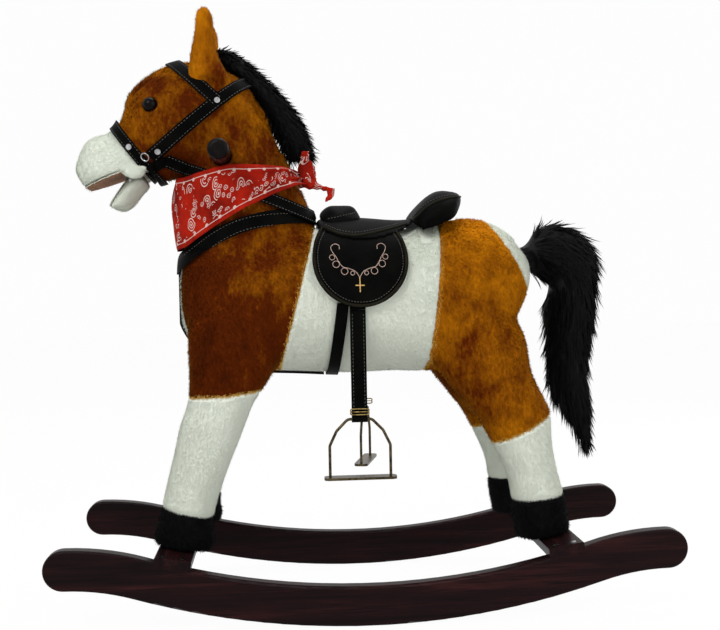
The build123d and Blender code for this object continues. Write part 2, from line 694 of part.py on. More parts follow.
# Ears
with BuildPart() as ear_left:
    add(stuffed(EAR))
    add(face_form, mode=Mode.SUBTRACT)
    add(browband.part, mode=Mode.SUBTRACT)
with BuildPart() as ear_right:
    mirror(ear_left.part, about=Plane.XZ)
with ear_left:
    add(ear_switch.part, mode=Mode.SUBTRACT)
rein_gap = 2 * SKIN_GAP + STRAP_THICKNESS
with BuildPart() as rein_inner:
    for form in (TORSO, NECK, FACE):
        add(stuffed(form, rein_gap))
with BuildPart() as rein_outer:
    for form in (TORSO, NECK, FACE):
        add(stuffed(form, rein_gap + STRAP_THICKNESS))
with BuildPart() as reins:
    add(band(REIN[0], REIN[1], REIN_WIDTH))
    add(rein_outer.part, mode=Mode.INTERSECT)
    add(rein_inner.part, mode=Mode.SUBTRACT)
    add(box(-260, 0, -14, 14, 300, 600), mode=Mode.SUBTRACT)
with BuildPart() as fittings:
    for place in STUDS:
        for side in (-1, 1):
            sight = Axis(at(place), (0, side, 0))
            spot, outward = max(face_strap.find_intersection_points(sight), key=lambda p: side * p[0].Y)
            with BuildSketch(Plane(spot + outward * 0.4, z_dir=outward)):
                Circle(STUD_DIAMETER / 2)
            extrude(amount=1.6)
    for side in (-1, 1):
        sight = Axis(at(RING), (0, side, 0))
        spot, outward = max(face_strap.find_intersection_points(sight), key=lambda p: side * p[0].Y)
        with Locations(Plane(spot + outward * (RING_WIRE / 2 + 0.1), z_dir=outward).location):
            Torus(RING_DIAMETER / 2, RING_WIRE / 2)
    add(noseband.part, mode=Mode.SUBTRACT)
with BuildPart() as bridle_metal:
    for piece in fittings.part.solids().sort_by(SortBy.VOLUME)[-2 * len(STUDS) - 2:]:
        add(piece)

# Bandana round the neck, over the reins, knotted behind
with BuildPart() as bandana:
    with BuildSketch(Plane.XZ):
        with BuildLine():
            Polyline(*[(x, STAND + h) for x, h in BANDANA], close=True)
        make_face()
    extrude(amount=100, both=True)
    add(stuffed(NECK, SKIN_GAP + BANDANA_THICKNESS), mode=Mode.INTERSECT)
    for form in (front_skin.part, face_skin, breast_strap.part, reins.part, handle_bar.part):
        add(form, mode=Mode.SUBTRACT)

# Mane along the crest of the neck
with BuildPart() as crest:
    add(stuffed(MANE))
    for form in (neck_form, face_form, poll_strap.part, bandana.part):
        add(form, mode=Mode.SUBTRACT)
with BuildPart() as mane:
    add(crest.part.solids().sort_by(SortBy.VOLUME)[-1])
with BuildPart() as bandana_knot:
    add(stuffed(KNOT))
    for form in (neck_form, bandana.part, mane.part, reins.part):
        add(form, mode=Mode.SUBTRACT)

# Tail, cleared for its swing against the trunk
with BuildPart() as tail:
    add(stuffed(TAIL))
    for angle in (-TAIL_SWING, -TAIL_SWING / 2, 0, TAIL_SWING / 2, TAIL_SWING):
        turned = stuffed(TORSO, 1.0).rotate(Axis(at((TAIL_AXIS_X, 0)), (0, 0, 1)), angle)
        add(turned, mode=Mode.SUBTRACT)
    add(tail_root.part)
    add(tail_spindle.part, mode=Mode.SUBTRACT)

# Stirrup straps: two plies, turned at the top on the flap's edge and looped round the wire below
STIRRUP_Y = (TORSO[4][2] + TORSO[5][2]) / 4 + SKIN_GAP + STIRRUP_STRAP_THICKNESS / 2
loop_bore = STIRRUP_WIRE / 2 + RUNNING_GAP
loop_outer = loop_bore + STIRRUP_STRAP_THICKNESS / 2
bar_height = STIRRUP_PIVOT_HEIGHT - STIRRUP_STRAP_DROP
with BuildPart() as stirrup_strap_left:
    half = STIRRUP_STRAP_WIDTH / 2
    add(box(STIRRUP_STRAP_X - half, STIRRUP_STRAP_X + half,
            -STIRRUP_Y - STIRRUP_STRAP_THICKNESS / 2, -STIRRUP_Y + STIRRUP_STRAP_THICKNESS / 2,
            bar_height, STIRRUP_PIVOT_HEIGHT))
    for h, radius in ((bar_height, loop_outer), (STIRRUP_PIVOT_HEIGHT, STIRRUP_STRAP_THICKNESS / 2)):
        with BuildSketch(Plane(at((STIRRUP_STRAP_X, h), -STIRRUP_Y), z_dir=(1, 0, 0))):
            Circle(radius)
        extrude(amount=half, both=True)
    with BuildSketch(Plane(at((STIRRUP_STRAP_X, bar_height), -STIRRUP_Y), z_dir=(1, 0, 0))):
        Circle(loop_bore)
    extrude(amount=half + 1, both=True, mode=Mode.SUBTRACT)
right_x = STIRRUP_STRAP_X + RIGHT_STIRRUP_LEAN
right_bar = bar_height - RIGHT_STIRRUP_EXTRA
right_turn = radians(RIGHT_STIRRUP_TWIST)
right_along = (cos(right_turn), sin(right_turn), 0)
with BuildPart() as stirrup_strap_right:
    drop = STIRRUP_STRAP_DROP + RIGHT_STIRRUP_EXTRA
    for part_way, twist in ((0, 0), (0.33, 0.25), (0.66, 0.75), (1, 1)):
        x = STIRRUP_STRAP_X + RIGHT_STIRRUP_LEAN * part_way
        turn = right_turn * twist
        place = at((x, STIRRUP_PIVOT_HEIGHT - drop * part_way), STIRRUP_Y)
        with BuildSketch(Plane(place, x_dir=(cos(turn), sin(turn), 0))):
            Rectangle(STIRRUP_STRAP_WIDTH, STIRRUP_STRAP_THICKNESS)
    loft()
    with BuildSketch(Plane(at((STIRRUP_STRAP_X, STIRRUP_PIVOT_HEIGHT), STIRRUP_Y), z_dir=(1, 0, 0))):
        Circle(STIRRUP_STRAP_THICKNESS / 2)
    extrude(amount=half, both=True)
    with BuildSketch(Plane(at((right_x, right_bar), STIRRUP_Y), z_dir=right_along)):
        Circle(loop_outer)
    extrude(amount=half, both=True)
    with BuildSketch(Plane(at((right_x, right_bar), STIRRUP_Y), z_dir=right_along)):
        Circle(loop_bore)
    extrude(amount=half + 1, both=True, mode=Mode.SUBTRACT)


def stirrup(x, y, h, turn):
    """Bent wire on a flat tread, hung by its straight top bar."""
    along = (cos(turn), sin(turn), 0)
    across = (sin(turn), -cos(turn), 0)
    with BuildPart() as iron:
        with BuildLine(Plane(at((x, h), y), x_dir=along, z_dir=across)) as path:
            w = STIRRUP_WIDTH / 2
            bar = STIRRUP_STRAP_WIDTH / 2 + 5
            mid = (w + bar) / 2 + 2.5
            low = STIRRUP_ARCH * 0.44
            FilletPolyline((-w, -STIRRUP_HEIGHT), (-w, -STIRRUP_ARCH), (-mid, -low), (-bar, 0), (bar, 0),
                           (mid, -low), (w, -STIRRUP_ARCH), (w, -STIRRUP_HEIGHT), radius=8)
        with BuildSketch(Plane(path.line @ 0, z_dir=(0, 0, 1))):
            Circle(STIRRUP_WIRE / 2)
        sweep()
        with BuildSketch(Plane(at((x, h - STIRRUP_HEIGHT), y), x_dir=along)):
            RectangleRounded(STIRRUP_TREAD_LENGTH, STIRRUP_TREAD_WIDTH, 6)
        extrude(amount=-STIRRUP_TREAD_THICKNESS)
    return iron.part


with BuildPart() as stirrup_left:
    add(stirrup(STIRRUP_STRAP_X, -STIRRUP_Y, bar_height, 0))
with BuildPart() as stirrup_right:
    add(stirrup(right_x, STIRRUP_Y, right_bar, right_turn))


# Write out every piece
for label, piece in leg_pieces.items():
    hand_over(piece, label)
hand_over(rocker_left, "rocker_left")
hand_over(rocker_right, "rocker_right")
hand_over(front_slat, "front_slat")
hand_over(rear_slat, "rear_slat")
hand_over(slat_screws, "slat_screws")
hand_over(foot_screws, "foot_screws")
hand_over(spine_board, "spine_board")
hand_over(leg_posts, "leg_posts")
hand_over(neck_post, "neck_post")
hand_over(handle_bar, "handle_bar")
hand_over(sound_box, "sound_box")
hand_over(jaw_motor, "jaw_motor")
hand_over(jaw_spindle, "jaw_spindle")
hand_over(tail_motor, "tail_motor")
hand_over(tail_spindle, "tail_spindle")
hand_over(ear_switch, "ear_switch")
hand_over(forequarter, "forequarter")
hand_over(barrel, "barrel")
hand_over(hindquarter, "hindquarter")
hand_over(rump, "rump")
hand_over(neck, "neck")
hand_over(head, "head")
hand_over(muzzle, "muzzle")
hand_over(palate_lining, "palate_lining")
hand_over(lower_jaw, "lower_jaw")
hand_over(jaw_lining, "jaw_lining")
hand_over(ear_left, "ear_left")
hand_over(ear_right, "ear_right")
hand_over(eyes, "eyes")
hand_over(mane, "mane")
hand_over(tail, "tail")
hand_over(saddle_seat, "saddle_seat")
hand_over(pommel, "pommel")
hand_over(cantle, "cantle")
hand_over(saddle_flap_left, "saddle_flap_left")
hand_over(saddle_flap_right, "saddle_flap_right")
hand_over(stirrup_billets, "stirrup_billets")
hand_over(girth, "girth")
hand_over(breast_strap, "breast_strap")
hand_over(chest_strap, "chest_strap")
hand_over(browband, "browband")
hand_over(cheek_straps, "cheek_straps")
hand_over(poll_strap, "poll_strap")
hand_over(noseband, "noseband")
hand_over(reins, "reins")
hand_over(bridle_metal, "bridle_metal")
hand_over(bandana, "bandana")
hand_over(bandana_knot, "bandana_knot")
hand_over(stirrup_strap_left, "stirrup_strap_left")
hand_over(stirrup_strap_right, "stirrup_strap_right")
hand_over(stirrup_left, "stirrup_left")
hand_over(stirrup_right, "stirrup_right")
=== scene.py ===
from math import cos, pi, radians, sin

import bmesh
import bpy
import numpy as np
from mathutils import Matrix, Vector
from mathutils.bvhtree import BVHTree
from mathutils.kdtree import KDTree


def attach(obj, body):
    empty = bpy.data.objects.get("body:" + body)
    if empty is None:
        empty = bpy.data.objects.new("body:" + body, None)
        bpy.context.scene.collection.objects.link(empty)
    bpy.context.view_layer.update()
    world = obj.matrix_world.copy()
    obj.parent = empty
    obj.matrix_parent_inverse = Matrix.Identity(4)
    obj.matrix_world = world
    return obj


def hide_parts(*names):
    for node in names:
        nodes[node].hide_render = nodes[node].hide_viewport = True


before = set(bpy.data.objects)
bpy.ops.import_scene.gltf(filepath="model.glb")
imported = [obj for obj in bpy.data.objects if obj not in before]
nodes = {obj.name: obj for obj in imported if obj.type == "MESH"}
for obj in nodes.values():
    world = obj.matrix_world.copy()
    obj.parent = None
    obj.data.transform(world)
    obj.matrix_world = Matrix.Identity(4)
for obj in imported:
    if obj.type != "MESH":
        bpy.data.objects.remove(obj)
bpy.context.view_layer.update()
rng = np.random.default_rng(11)
STAND = 84.993
scene = bpy.context.scene
scene.view_settings.view_transform = "Standard"


def pt(x, h, y=0.0):
    """Place in the frame, in metres, of a side-view point in millimetres above the slat tops."""
    return np.array([x / 1000, y / 1000, (STAND + h) / 1000])


# Camera, as fitted to the photo
PHOTO_WIDTH = 720
FOCAL_PIXELS = 1037
SENSOR_WIDTH = 36
CAMERA_PLACE = (-0.0944, -1.3074, 0.3952)
yaw, pitch, roll = radians(4.18), radians(1.93), radians(-1.05)
right = Vector((cos(yaw), -sin(yaw), 0))
ahead = Vector((sin(yaw) * cos(pitch), cos(yaw) * cos(pitch), -sin(pitch)))
up = right.cross(ahead)
cam_data = bpy.data.cameras.new("camera")
cam_data.sensor_fit = "HORIZONTAL"
cam_data.sensor_width = SENSOR_WIDTH
cam_data.lens = FOCAL_PIXELS / PHOTO_WIDTH * SENSOR_WIDTH
camera = bpy.data.objects.new("camera", cam_data)
scene.collection.objects.link(camera)
cam_x = right * cos(roll) + up * sin(roll)
cam_y = up * cos(roll) - right * sin(roll)
turn = Matrix((cam_x, cam_y, -ahead)).transposed().to_4x4()
camera.matrix_world = Matrix.Translation(CAMERA_PLACE) @ turn
scene.camera = camera


# Materials
class Shade:
    """A material and the nodes that make its colour, roughness and relief."""

    def __init__(self, name, **sockets):
        self.mat = bpy.data.materials.new(name)
        self.mat.use_nodes = True
        self.tree = self.mat.node_tree
        self.bsdf = self.tree.nodes["Principled BSDF"]
        for key, value in sockets.items():
            self.bsdf.inputs[key.replace("_", " ")].default_value = value
        self.coords = self.tree.nodes.new("ShaderNodeTexCoord").outputs["Object"]

    def add(self, kind, **values):
        node = self.tree.nodes.new("ShaderNode" + kind)
        for key, value in values.items():
            name = key.replace("_", " ")
            if name in node.inputs:
                node.inputs[name].default_value = value
            else:
                setattr(node, key, value)
        return node

    def link(self, a, b):
        self.tree.links.new(a, b)

    def put(self, socket, value):
        """Links the socket where the value is one, and sets it otherwise."""
        if hasattr(value, "is_linked"):
            self.link(value, socket)
        elif socket.type == "RGBA":
            socket.default_value = (*value, 1)
        else:
            socket.default_value = value

    def stretch(self, scale, rotation=(0, 0, 0)):
        node = self.add("Mapping", Scale=scale, Rotation=rotation)
        self.link(self.coords, node.inputs["Vector"])
        return node.outputs[0]

    def noise(self, scale, detail=3.0, rough=0.55, vector=None, distortion=0.0):
        node = self.add("TexNoise", Scale=scale, Detail=detail, Roughness=rough, Distortion=distortion)
        self.link(vector or self.coords, node.inputs["Vector"])
        return node.outputs[0]

    def ramp(self, fac, *stops):
        node = self.add("ValToRGB")
        while len(node.color_ramp.elements) < len(stops):
            node.color_ramp.elements.new(0.5)
        for element, (place, colour) in zip(node.color_ramp.elements, stops):
            element.position = place
            element.color = (*colour, 1) if hasattr(colour, "__len__") else (colour, colour, colour, 1)
        self.link(fac, node.inputs[0])
        return node.outputs[0]

    def mix(self, fac, a, b):
        node = self.add("Mix", data_type="RGBA")
        for socket, value in ((node.inputs[0], fac), (node.inputs[6], a), (node.inputs[7], b)):
            self.put(socket, value)
        return node.outputs[2]

    def math(self, op, a, b=0.0, c=0.0):
        node = self.add("Math", operation=op)
        for socket, value in zip(node.inputs, (a, b, c)):
            self.put(socket, value)
        return node.outputs[0]

    def above(self, socket, start, most=None):
        """How far a value lies above a start, up to a most."""
        rise = self.math("MAXIMUM", self.math("SUBTRACT", socket, start), 0.0)
        return rise if most is None else self.math("MINIMUM", rise, most)

    def near(self, socket, middle, width):
        """1 where a value lies close to a middle, otherwise 0."""
        return self.math("LESS_THAN", self.math("ABSOLUTE", self.math("SUBTRACT", socket, middle)), width)

    def colour(self, socket):
        self.link(socket, self.bsdf.inputs["Base Color"])

    def rough(self, fac, low, high):
        node = self.add("MapRange")
        self.link(fac, node.inputs[0])
        node.inputs[3].default_value = low
        node.inputs[4].default_value = high
        self.link(node.outputs[0], self.bsdf.inputs["Roughness"])

    def bump(self, height, depth, strength=1.0):
        node = self.add("Bump", Strength=strength, Distance=depth)
        self.link(height, node.inputs["Height"])
        self.link(node.outputs[0], self.bsdf.inputs["Normal"])


def plush(name, dark, middle, light, sheen, sheen_colour, fine=0.1, tone_and_highlight=None, grain=1.0, nap=0.0006):
    """Brushed pile: broad soft patches and, where lifts are given, a tone lightened to the rear, up the body
    and on the crown, face and croup: painted highlight from light falling from above, partly the plush's own
    tone to the rear and on the face.
    """
    s = Shade(name, Sheen_Weight=sheen, Sheen_Roughness=0.35, Specular_IOR_Level=0.03)
    s.bsdf.inputs["Sheen Tint"].default_value = (*sheen_colour, 1)
    broad = s.noise(10, 2, 0.5, distortion=0.6)
    brushed = s.noise(1, 2, 0.5, s.stretch((44, 44, 30), (0, 0.35, 0)), 0.3)
    streak = s.noise(grain, 2, 0.6, s.stretch((260, 260, 120), (0, 0.35, 0)))
    tone = s.math("MULTIPLY_ADD", brushed, 0.3, s.math("MULTIPLY", broad, 0.7 - fine))
    tone = s.math("MULTIPLY_ADD", streak, fine, tone)
    # Painted highlight: the tone is lifted up the body, on the crown and on the croup where light falls from
    # above, and to the rear and on the face, where the lift is partly the plush's own tone.
    if tone_and_highlight:
        tone = s.math("MULTIPLY_ADD", tone, 0.58, 0.21)
        place = s.add("SeparateXYZ")
        s.link(s.coords, place.inputs[0])
        along, height = place.outputs[0], place.outputs[2]
        back, flank_highlight, crown_highlight, face, croup_highlight = tone_and_highlight
        head = s.above(s.math("MULTIPLY", along, -1.0), 0.17, 0.06)
        for rise, share in ((along, back),
                            (s.above(height, 0.28, 0.2), flank_highlight),
                            (s.above(height, 0.63), crown_highlight),
                            (s.math("MULTIPLY", head, s.above(height, 0.50, 0.05)), face),
                            (s.math("MULTIPLY", s.above(along, 0.07), s.above(height, 0.41)), croup_highlight)):
            tone = s.math("MULTIPLY_ADD", rise, share, tone)
    s.colour(s.ramp(tone, (0.33, dark), (0.5, middle), (0.68, light)))
    s.rough(streak, 0.72, 0.95)
    s.bump(streak, nap)
    return s.mat


# Brown: its last five numbers are the painted highlight lifts (rear, upper body, crown, face, croup), partly
# the plush's own tone to the rear and on the face.
BROWN = plush("brown_plush", (0.024, 0.0032, 0.0005), (0.105, 0.0165, 0.0009), (0.58, 0.200, 0.0024),
              sheen=0.20, sheen_colour=(1.0, 0.47, 0.012), fine=0.2, tone_and_highlight=(0.42, 0.34, 0.9, 22.0, 32.0))
# Painted highlight: golden pile beside the two-tone seams, where the raised pile catches the light.
SEAM_HIGHLIGHT = plush("seam_highlight_plush", (0.36, 0.15, 0.012), (0.58, 0.31, 0.045), (0.74, 0.48, 0.12),
             sheen=0.35, sheen_colour=(1.0, 0.72, 0.08))
WHITE = plush("white_plush", (0.655, 0.695, 0.595), (0.745, 0.785, 0.685), (0.81, 0.85, 0.755),
              sheen=0.05, sheen_colour=(0.9, 0.92, 0.8), fine=0.2, grain=2.4, nap=0.0002)
BLACK = plush("black_plush", (0.0022, 0.0022, 0.0025), (0.004, 0.004, 0.0045), (0.008, 0.008, 0.009),
              sheen=0.02, sheen_colour=(0.3, 0.3, 0.3), fine=0.25)


def hair_shade():
    s = Shade("black_hair", Specular_IOR_Level=0.09, Sheen_Weight=0.01)
    strands = s.noise(1, 3, 0.6, s.stretch((420, 420, 60)))
    s.colour(s.ramp(strands, (0.40, (0.0016, 0.0016, 0.0019)), (0.62, (0.004, 0.004, 0.0046)),
                    (0.8, (0.016, 0.016, 0.017))))
    s.rough(strands, 0.42, 0.62)
    return s.mat


HAIR = hair_shade()


def leather_shade(name, dark, light, low, high):
    s = Shade(name, Specular_IOR_Level=0.012)
    cells = s.add("TexVoronoi", Scale=620.0, feature="DISTANCE_TO_EDGE")
    s.link(s.coords, cells.inputs["Vector"])
    grain = s.math("MINIMUM", cells.outputs["Distance"], 0.16)
    worn = s.noise(38, 5, 0.6)
    s.colour(s.ramp(worn, (0.35, dark), (0.72, light)))
    s.rough(worn, low, high)
    s.bump(s.math("ADD", grain, s.math("MULTIPLY", worn, 0.5)), 0.0006, 0.55)
    return s.mat


LEATHER = leather_shade("black_leather", (0.0014, 0.0014, 0.0014), (0.0036, 0.0035, 0.0031),
                        low=0.34, high=0.54)
PIPING = leather_shade("piping_leather", (0.008, 0.0076, 0.0048), (0.020, 0.0185, 0.0115),
                       low=0.32, high=0.5)


def speckled(name, dark, light, noise, stops=(0.35, 0.65), rough=None, relief=0.0002, **sockets):
    """Two colours, roughness and relief from one noise."""
    s = Shade(name, **sockets)
    grain = s.noise(*noise)
    s.colour(s.ramp(grain, (stops[0], dark), (stops[1], light)))
    if rough:
        s.rough(grain, *rough)
    if relief:
        s.bump(grain, relief)
    return s.mat


PLY = {"noise": (900, 2), "stops": (0.4, 0.65), "Roughness": 0.62, "Specular_IOR_Level": 0.3}
THREAD = speckled("grey_thread", (0.075, 0.072, 0.062), (0.17, 0.165, 0.145), **PLY)
ROSE_THREAD = speckled("rose_thread", (0.33, 0.22, 0.18), (0.62, 0.47, 0.38), **PLY)
GOLD_THREAD = speckled("gold_thread", (0.50, 0.28, 0.07), (0.80, 0.55, 0.22), **PLY)
EYE = speckled("eye_plastic", (0.0016, 0.0014, 0.0014), (0.005, 0.0035, 0.003), (90, 3), (0.35, 0.75),
               relief=None, Roughness=0.08, Specular_IOR_Level=0.06)
FELT = speckled("mouth_felt", (0.125, 0.050, 0.020), (0.37, 0.178, 0.076), (420, 4, 0.7), rough=(0.8, 0.97),
                relief=0.0008, Sheen_Weight=0.1, Specular_IOR_Level=0.1)
PLASTIC = speckled("moulded_plastic", (0.07, 0.07, 0.075), (0.12, 0.12, 0.125), (520, 2), rough=(0.5, 0.65),
                   Specular_IOR_Level=0.4)


def wood_shade(name, along, dark, middle, light, low, high):
    s = Shade(name, Specular_IOR_Level=0.06, Coat_Weight=0.01, Coat_Roughness=0.2)
    scale = [70, 70, 70]
    scale[along] = 4
    lines = s.noise(1, 5, 0.62, s.stretch(scale), 0.5)
    fine_scale = [620, 620, 620]
    fine_scale[along] = 16
    pores = s.noise(1, 2, 0.5, s.stretch(fine_scale))
    base = s.ramp(lines, (0.36, dark), (0.55, middle), (0.72, light))
    s.colour(s.mix(s.ramp(pores, (0.36, 1.0), (0.44, 0.0)), base, dark))
    rubbed = s.noise(26, 4, 0.6)
    s.rough(rubbed, low, high)
    s.bump(pores, 0.0003, 0.5)
    return s.mat


MAHOGANY = ((0.0050, 0.0020, 0.0024), (0.0125, 0.0036, 0.0042), (0.032, 0.0080, 0.0078))
WOOD_X = wood_shade("mahogany_rocker", 0, *MAHOGANY, low=0.26, high=0.44)
WOOD_Y = wood_shade("mahogany_slat", 1, *MAHOGANY, low=0.28, high=0.46)
EBONY = wood_shade("dark_handle", 1, (0.0016, 0.0011, 0.0011), (0.0032, 0.0017, 0.0018),
                   (0.0075, 0.0036, 0.0036), low=0.3, high=0.46)
PINE = ((0.33, 0.19, 0.08), (0.50, 0.33, 0.16), (0.62, 0.45, 0.25))
PINE_X = wood_shade("raw_pine_board", 0, *PINE, low=0.55, high=0.7)
PINE_Z = wood_shade("raw_pine_post", 2, *PINE, low=0.55, high=0.7)


def metal_shade(name, dark, light, low, high):
    s = Shade(name, Metallic=1.0)
    patina = s.noise(120, 5, 0.65)
    s.colour(s.ramp(patina, (0.36, dark), (0.62, light)))
    s.rough(patina, low, high)
    s.bump(s.noise(700, 2), 0.0001, 0.4)
    return s.mat


STEEL = metal_shade("steel", (0.20, 0.20, 0.21), (0.50, 0.50, 0.50), low=0.16, high=0.34)
BRONZE = metal_shade("antique_brass", (0.022, 0.0165, 0.009), (0.11, 0.082, 0.042), low=0.28, high=0.46)
BRASS = metal_shade("buckle_brass", (0.16, 0.105, 0.034), (0.42, 0.30, 0.11), low=0.22, high=0.4)


def ribbon_shade():
    s = Shade("white_ribbon", Specular_IOR_Level=0.3, Sheen_Weight=0.1)
    weave = s.add("TexWave", Scale=420.0, Distortion=1.2)
    s.link(s.coords, weave.inputs["Vector"])
    s.colour(s.ramp(weave.outputs[1], (0.2, (0.66, 0.64, 0.61)), (0.8, (0.80, 0.79, 0.76))))
    s.rough(weave.outputs[1], 0.5, 0.7)
    s.bump(weave.outputs[1], 0.0002)
    return s.mat


RIBBON = ribbon_shade()


def bandana_shade():
    s = Shade("red_cotton", Specular_IOR_Level=0.06)
    uv = s.tree.nodes["Texture Coordinate"].outputs["UV"]
    bend = s.add("VectorMath", operation="MULTIPLY_ADD")
    wobble = s.add("TexNoise", Scale=70.0, Detail=1.0)
    s.link(uv, wobble.inputs["Vector"])
    s.link(wobble.outputs["Color"], bend.inputs[0])
    bend.inputs[1].default_value = (0.006, 0.006, 0)
    s.link(uv, bend.inputs[2])

    def drops(size, rings, angle, squash, shift):
        """Outlined drops scattered over the cloth: nested rings of stretched cells."""
        placed = s.add("Mapping", Location=(shift, shift * 0.7, 0), Rotation=(0, 0, angle),
                       Scale=(1, squash, 1))
        s.link(bend.outputs[0], placed.inputs["Vector"])
        cell = s.add("TexVoronoi", Scale=1 / size, Randomness=0.85, voronoi_dimensions="2D")
        s.link(placed.outputs[0], cell.inputs["Vector"])
        total = 0.0
        for middle, width in rings:
            total = s.math("MAXIMUM", total, s.near(cell.outputs["Distance"], middle, width))
        return total

    large = drops(0.0150, ((0.31, 0.026), (0.17, 0.026), (0.02, 0.05)), 0.6, 0.62, 0.013)
    small = drops(0.0085, ((0.24, 0.045), (0.02, 0.06)), -0.5, 0.75, 0.051)
    zone = s.noise(42, 1, 0.5, uv)
    sparse = s.math("MULTIPLY", small, s.math("GREATER_THAN", zone, 0.40))
    figure = s.mix(s.math("GREATER_THAN", zone, 0.50), sparse, large)
    place = s.add("SeparateXYZ")
    s.link(uv, place.inputs[0])
    hem = s.add("Attribute", attribute_name="edge").outputs["Fac"]
    line = s.near(hem, 0.0062, 0.0005)
    inside = s.math("GREATER_THAN", hem, 0.0095)
    beat = s.math("SUBTRACT", s.math("MODULO", place.outputs[0], 0.019), 0.0095)
    away = s.math("SUBTRACT", hem, 0.0072)
    squared = s.math("MULTIPLY_ADD", beat, beat, s.math("MULTIPLY", away, away))
    dots = s.math("LESS_THAN", squared, 0.0021 ** 2)
    printed = s.math("MAXIMUM", s.math("MULTIPLY", inside, figure), s.math("MAXIMUM", line, dots))
    faded = s.noise(30, 4, 0.6)
    red = s.ramp(faded, (0.35, (0.17, 0.0055, 0.0025)), (0.65, (0.43, 0.015, 0.005)))
    weave = s.add("TexWave", Scale=900.0, Distortion=0.6)
    s.link(uv, weave.inputs["Vector"])
    s.colour(s.mix(s.math("MULTIPLY", printed, 0.8), red, (0.72, 0.55, 0.50)))
    s.rough(faded, 0.78, 0.92)
    s.bump(weave.outputs[1], 0.0002, 0.5)
    return s.mat


BANDANA = bandana_shade()


# Mesh helpers
def arrays(obj):
    me = obj.data
    co = np.empty(len(me.vertices) * 3)
    me.vertices.foreach_get("co", co)
    me.calc_loop_triangles()
    tri = np.empty(len(me.loop_triangles) * 3, np.int32)
    me.loop_triangles.foreach_get("vertices", tri)
    return co.reshape(-1, 3), tri.reshape(-1, 3)


def joined(objs):
    """Vertices, triangles and, for each triangle, the place of its object in the list."""
    points, tris, owner, start = [], [], [], 0
    for k, obj in enumerate(objs):
        co, tri = arrays(obj)
        points.append(co)
        tris.append(tri + start)
        owner.append(np.full(len(tri), k))
        start += len(co)
    return np.concatenate(points), np.concatenate(tris), np.concatenate(owner)


def tree_from(co, tri):
    return BVHTree.FromPolygons([tuple(p) for p in co], [tuple(int(i) for i in t) for t in tri])


def tree_of(*objs):
    return tree_from(*joined(objs)[:2])


def coat(mat, *names):
    """Gives CAD solids that the scene keeps their material."""
    for name in names:
        nodes[name].data.materials.clear()
        nodes[name].data.materials.append(mat)


def make(name, co, faces, mats, body="horse", mat_index=None):
    me = bpy.data.meshes.new(name)
    me.from_pydata([tuple(p) for p in np.asarray(co, float)], [], [tuple(int(i) for i in f) for f in faces])
    for mat in mats if isinstance(mats, (list, tuple)) else [mats]:
        me.materials.append(mat)
    me.polygons.foreach_set("use_smooth", [True] * len(me.polygons))
    if mat_index is not None:
        me.polygons.foreach_set("material_index", [int(i) for i in mat_index])
    me.update()
    obj = bpy.data.objects.new(name, me)
    scene.collection.objects.link(obj)
    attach(obj, body)
    return obj


SCRAP_SHARE = 0.12


def voxels(co, tri, size):
    """Closed skin of quads around a set of solids, without the small scraps inside them."""
    me = bpy.data.meshes.new("tmp")
    me.from_pydata([tuple(p) for p in co], [], [tuple(int(i) for i in t) for t in tri])
    tmp = bpy.data.objects.new("tmp", me)
    scene.collection.objects.link(tmp)
    mod = tmp.modifiers.new("skin", "REMESH")
    mod.mode = "VOXEL"
    mod.voxel_size = size
    out = bpy.data.meshes.new_from_object(tmp.evaluated_get(bpy.context.evaluated_depsgraph_get()))
    bpy.data.objects.remove(tmp)
    bm = bmesh.new()
    bm.from_mesh(out)
    seen, islands = set(), []
    bm.verts.ensure_lookup_table()
    for v in bm.verts:
        if v.index in seen:
            continue
        seen.add(v.index)
        todo, group = [v], []
        while todo:
            w = todo.pop()
            group.append(w)
            for e in w.link_edges:
                o = e.other_vert(w)
                if o.index not in seen:
                    seen.add(o.index)
                    todo.append(o)
        islands.append(group)
    largest = max(len(g) for g in islands)
    for g in islands:
        if len(g) < SCRAP_SHARE * largest:
            bmesh.ops.delete(bm, geom=g, context="VERTS")
    bm.verts.index_update()
    co = np.array([v.co[:] for v in bm.verts])
    faces = [[v.index for v in f.verts] for f in bm.faces]
    edges = np.array([[e.verts[0].index, e.verts[1].index] for e in bm.edges])
    bm.free()
    bpy.data.meshes.remove(out)
    return co, faces, edges


def relax(co, edges, times, share=0.5, weight=None):
    """Draws every row towards the mean of its neighbours."""
    co = co.copy()
    n = len(co)
    i, j = edges[:, 0], edges[:, 1]
    count = np.maximum(np.bincount(i, minlength=n) + np.bincount(j, minlength=n), 1)[:, None]
    w = share if weight is None else share * weight[:, None]
    for _ in range(times):
        total = np.empty_like(co)
        for a in range(co.shape[1]):
            total[:, a] = np.bincount(i, co[j, a], n) + np.bincount(j, co[i, a], n)
        co += w * (total / count - co)
    return co


def tris_of(faces):
    fans = [(f[0], f[k], f[k + 1]) for f in faces for k in range(1, len(f) - 1)]
    return np.array(fans, np.int64).reshape(-1, 3)


def vertex_normals(co, tri):
    cross = np.cross(co[tri[:, 1]] - co[tri[:, 0]], co[tri[:, 2]] - co[tri[:, 0]])
    out = np.zeros_like(co)
    for k in range(3):
        for a in range(3):
            out[:, a] += np.bincount(tri[:, k], cross[:, a], len(co))
    return out / np.maximum(np.linalg.norm(out, axis=1, keepdims=True), 1e-12)


def skin_of(name, size, times):
    """Smoothed skin around one node: vertices, faces, triangles and normals."""
    co, faces, edges = voxels(*arrays(nodes[name]), size)
    co = relax(co, edges, times)
    tri = tris_of(faces)
    return co, faces, tri, vertex_normals(co, tri)


def outward(obj):
    """Turns the faces of a closed mesh outwards."""
    bm = bmesh.new()
    bm.from_mesh(obj.data)
    bmesh.ops.recalc_face_normals(bm, faces=bm.faces)
    bm.to_mesh(obj.data)
    bm.free()


def unit(v):
    return v / np.maximum(np.linalg.norm(v, axis=-1, keepdims=True), 1e-12)


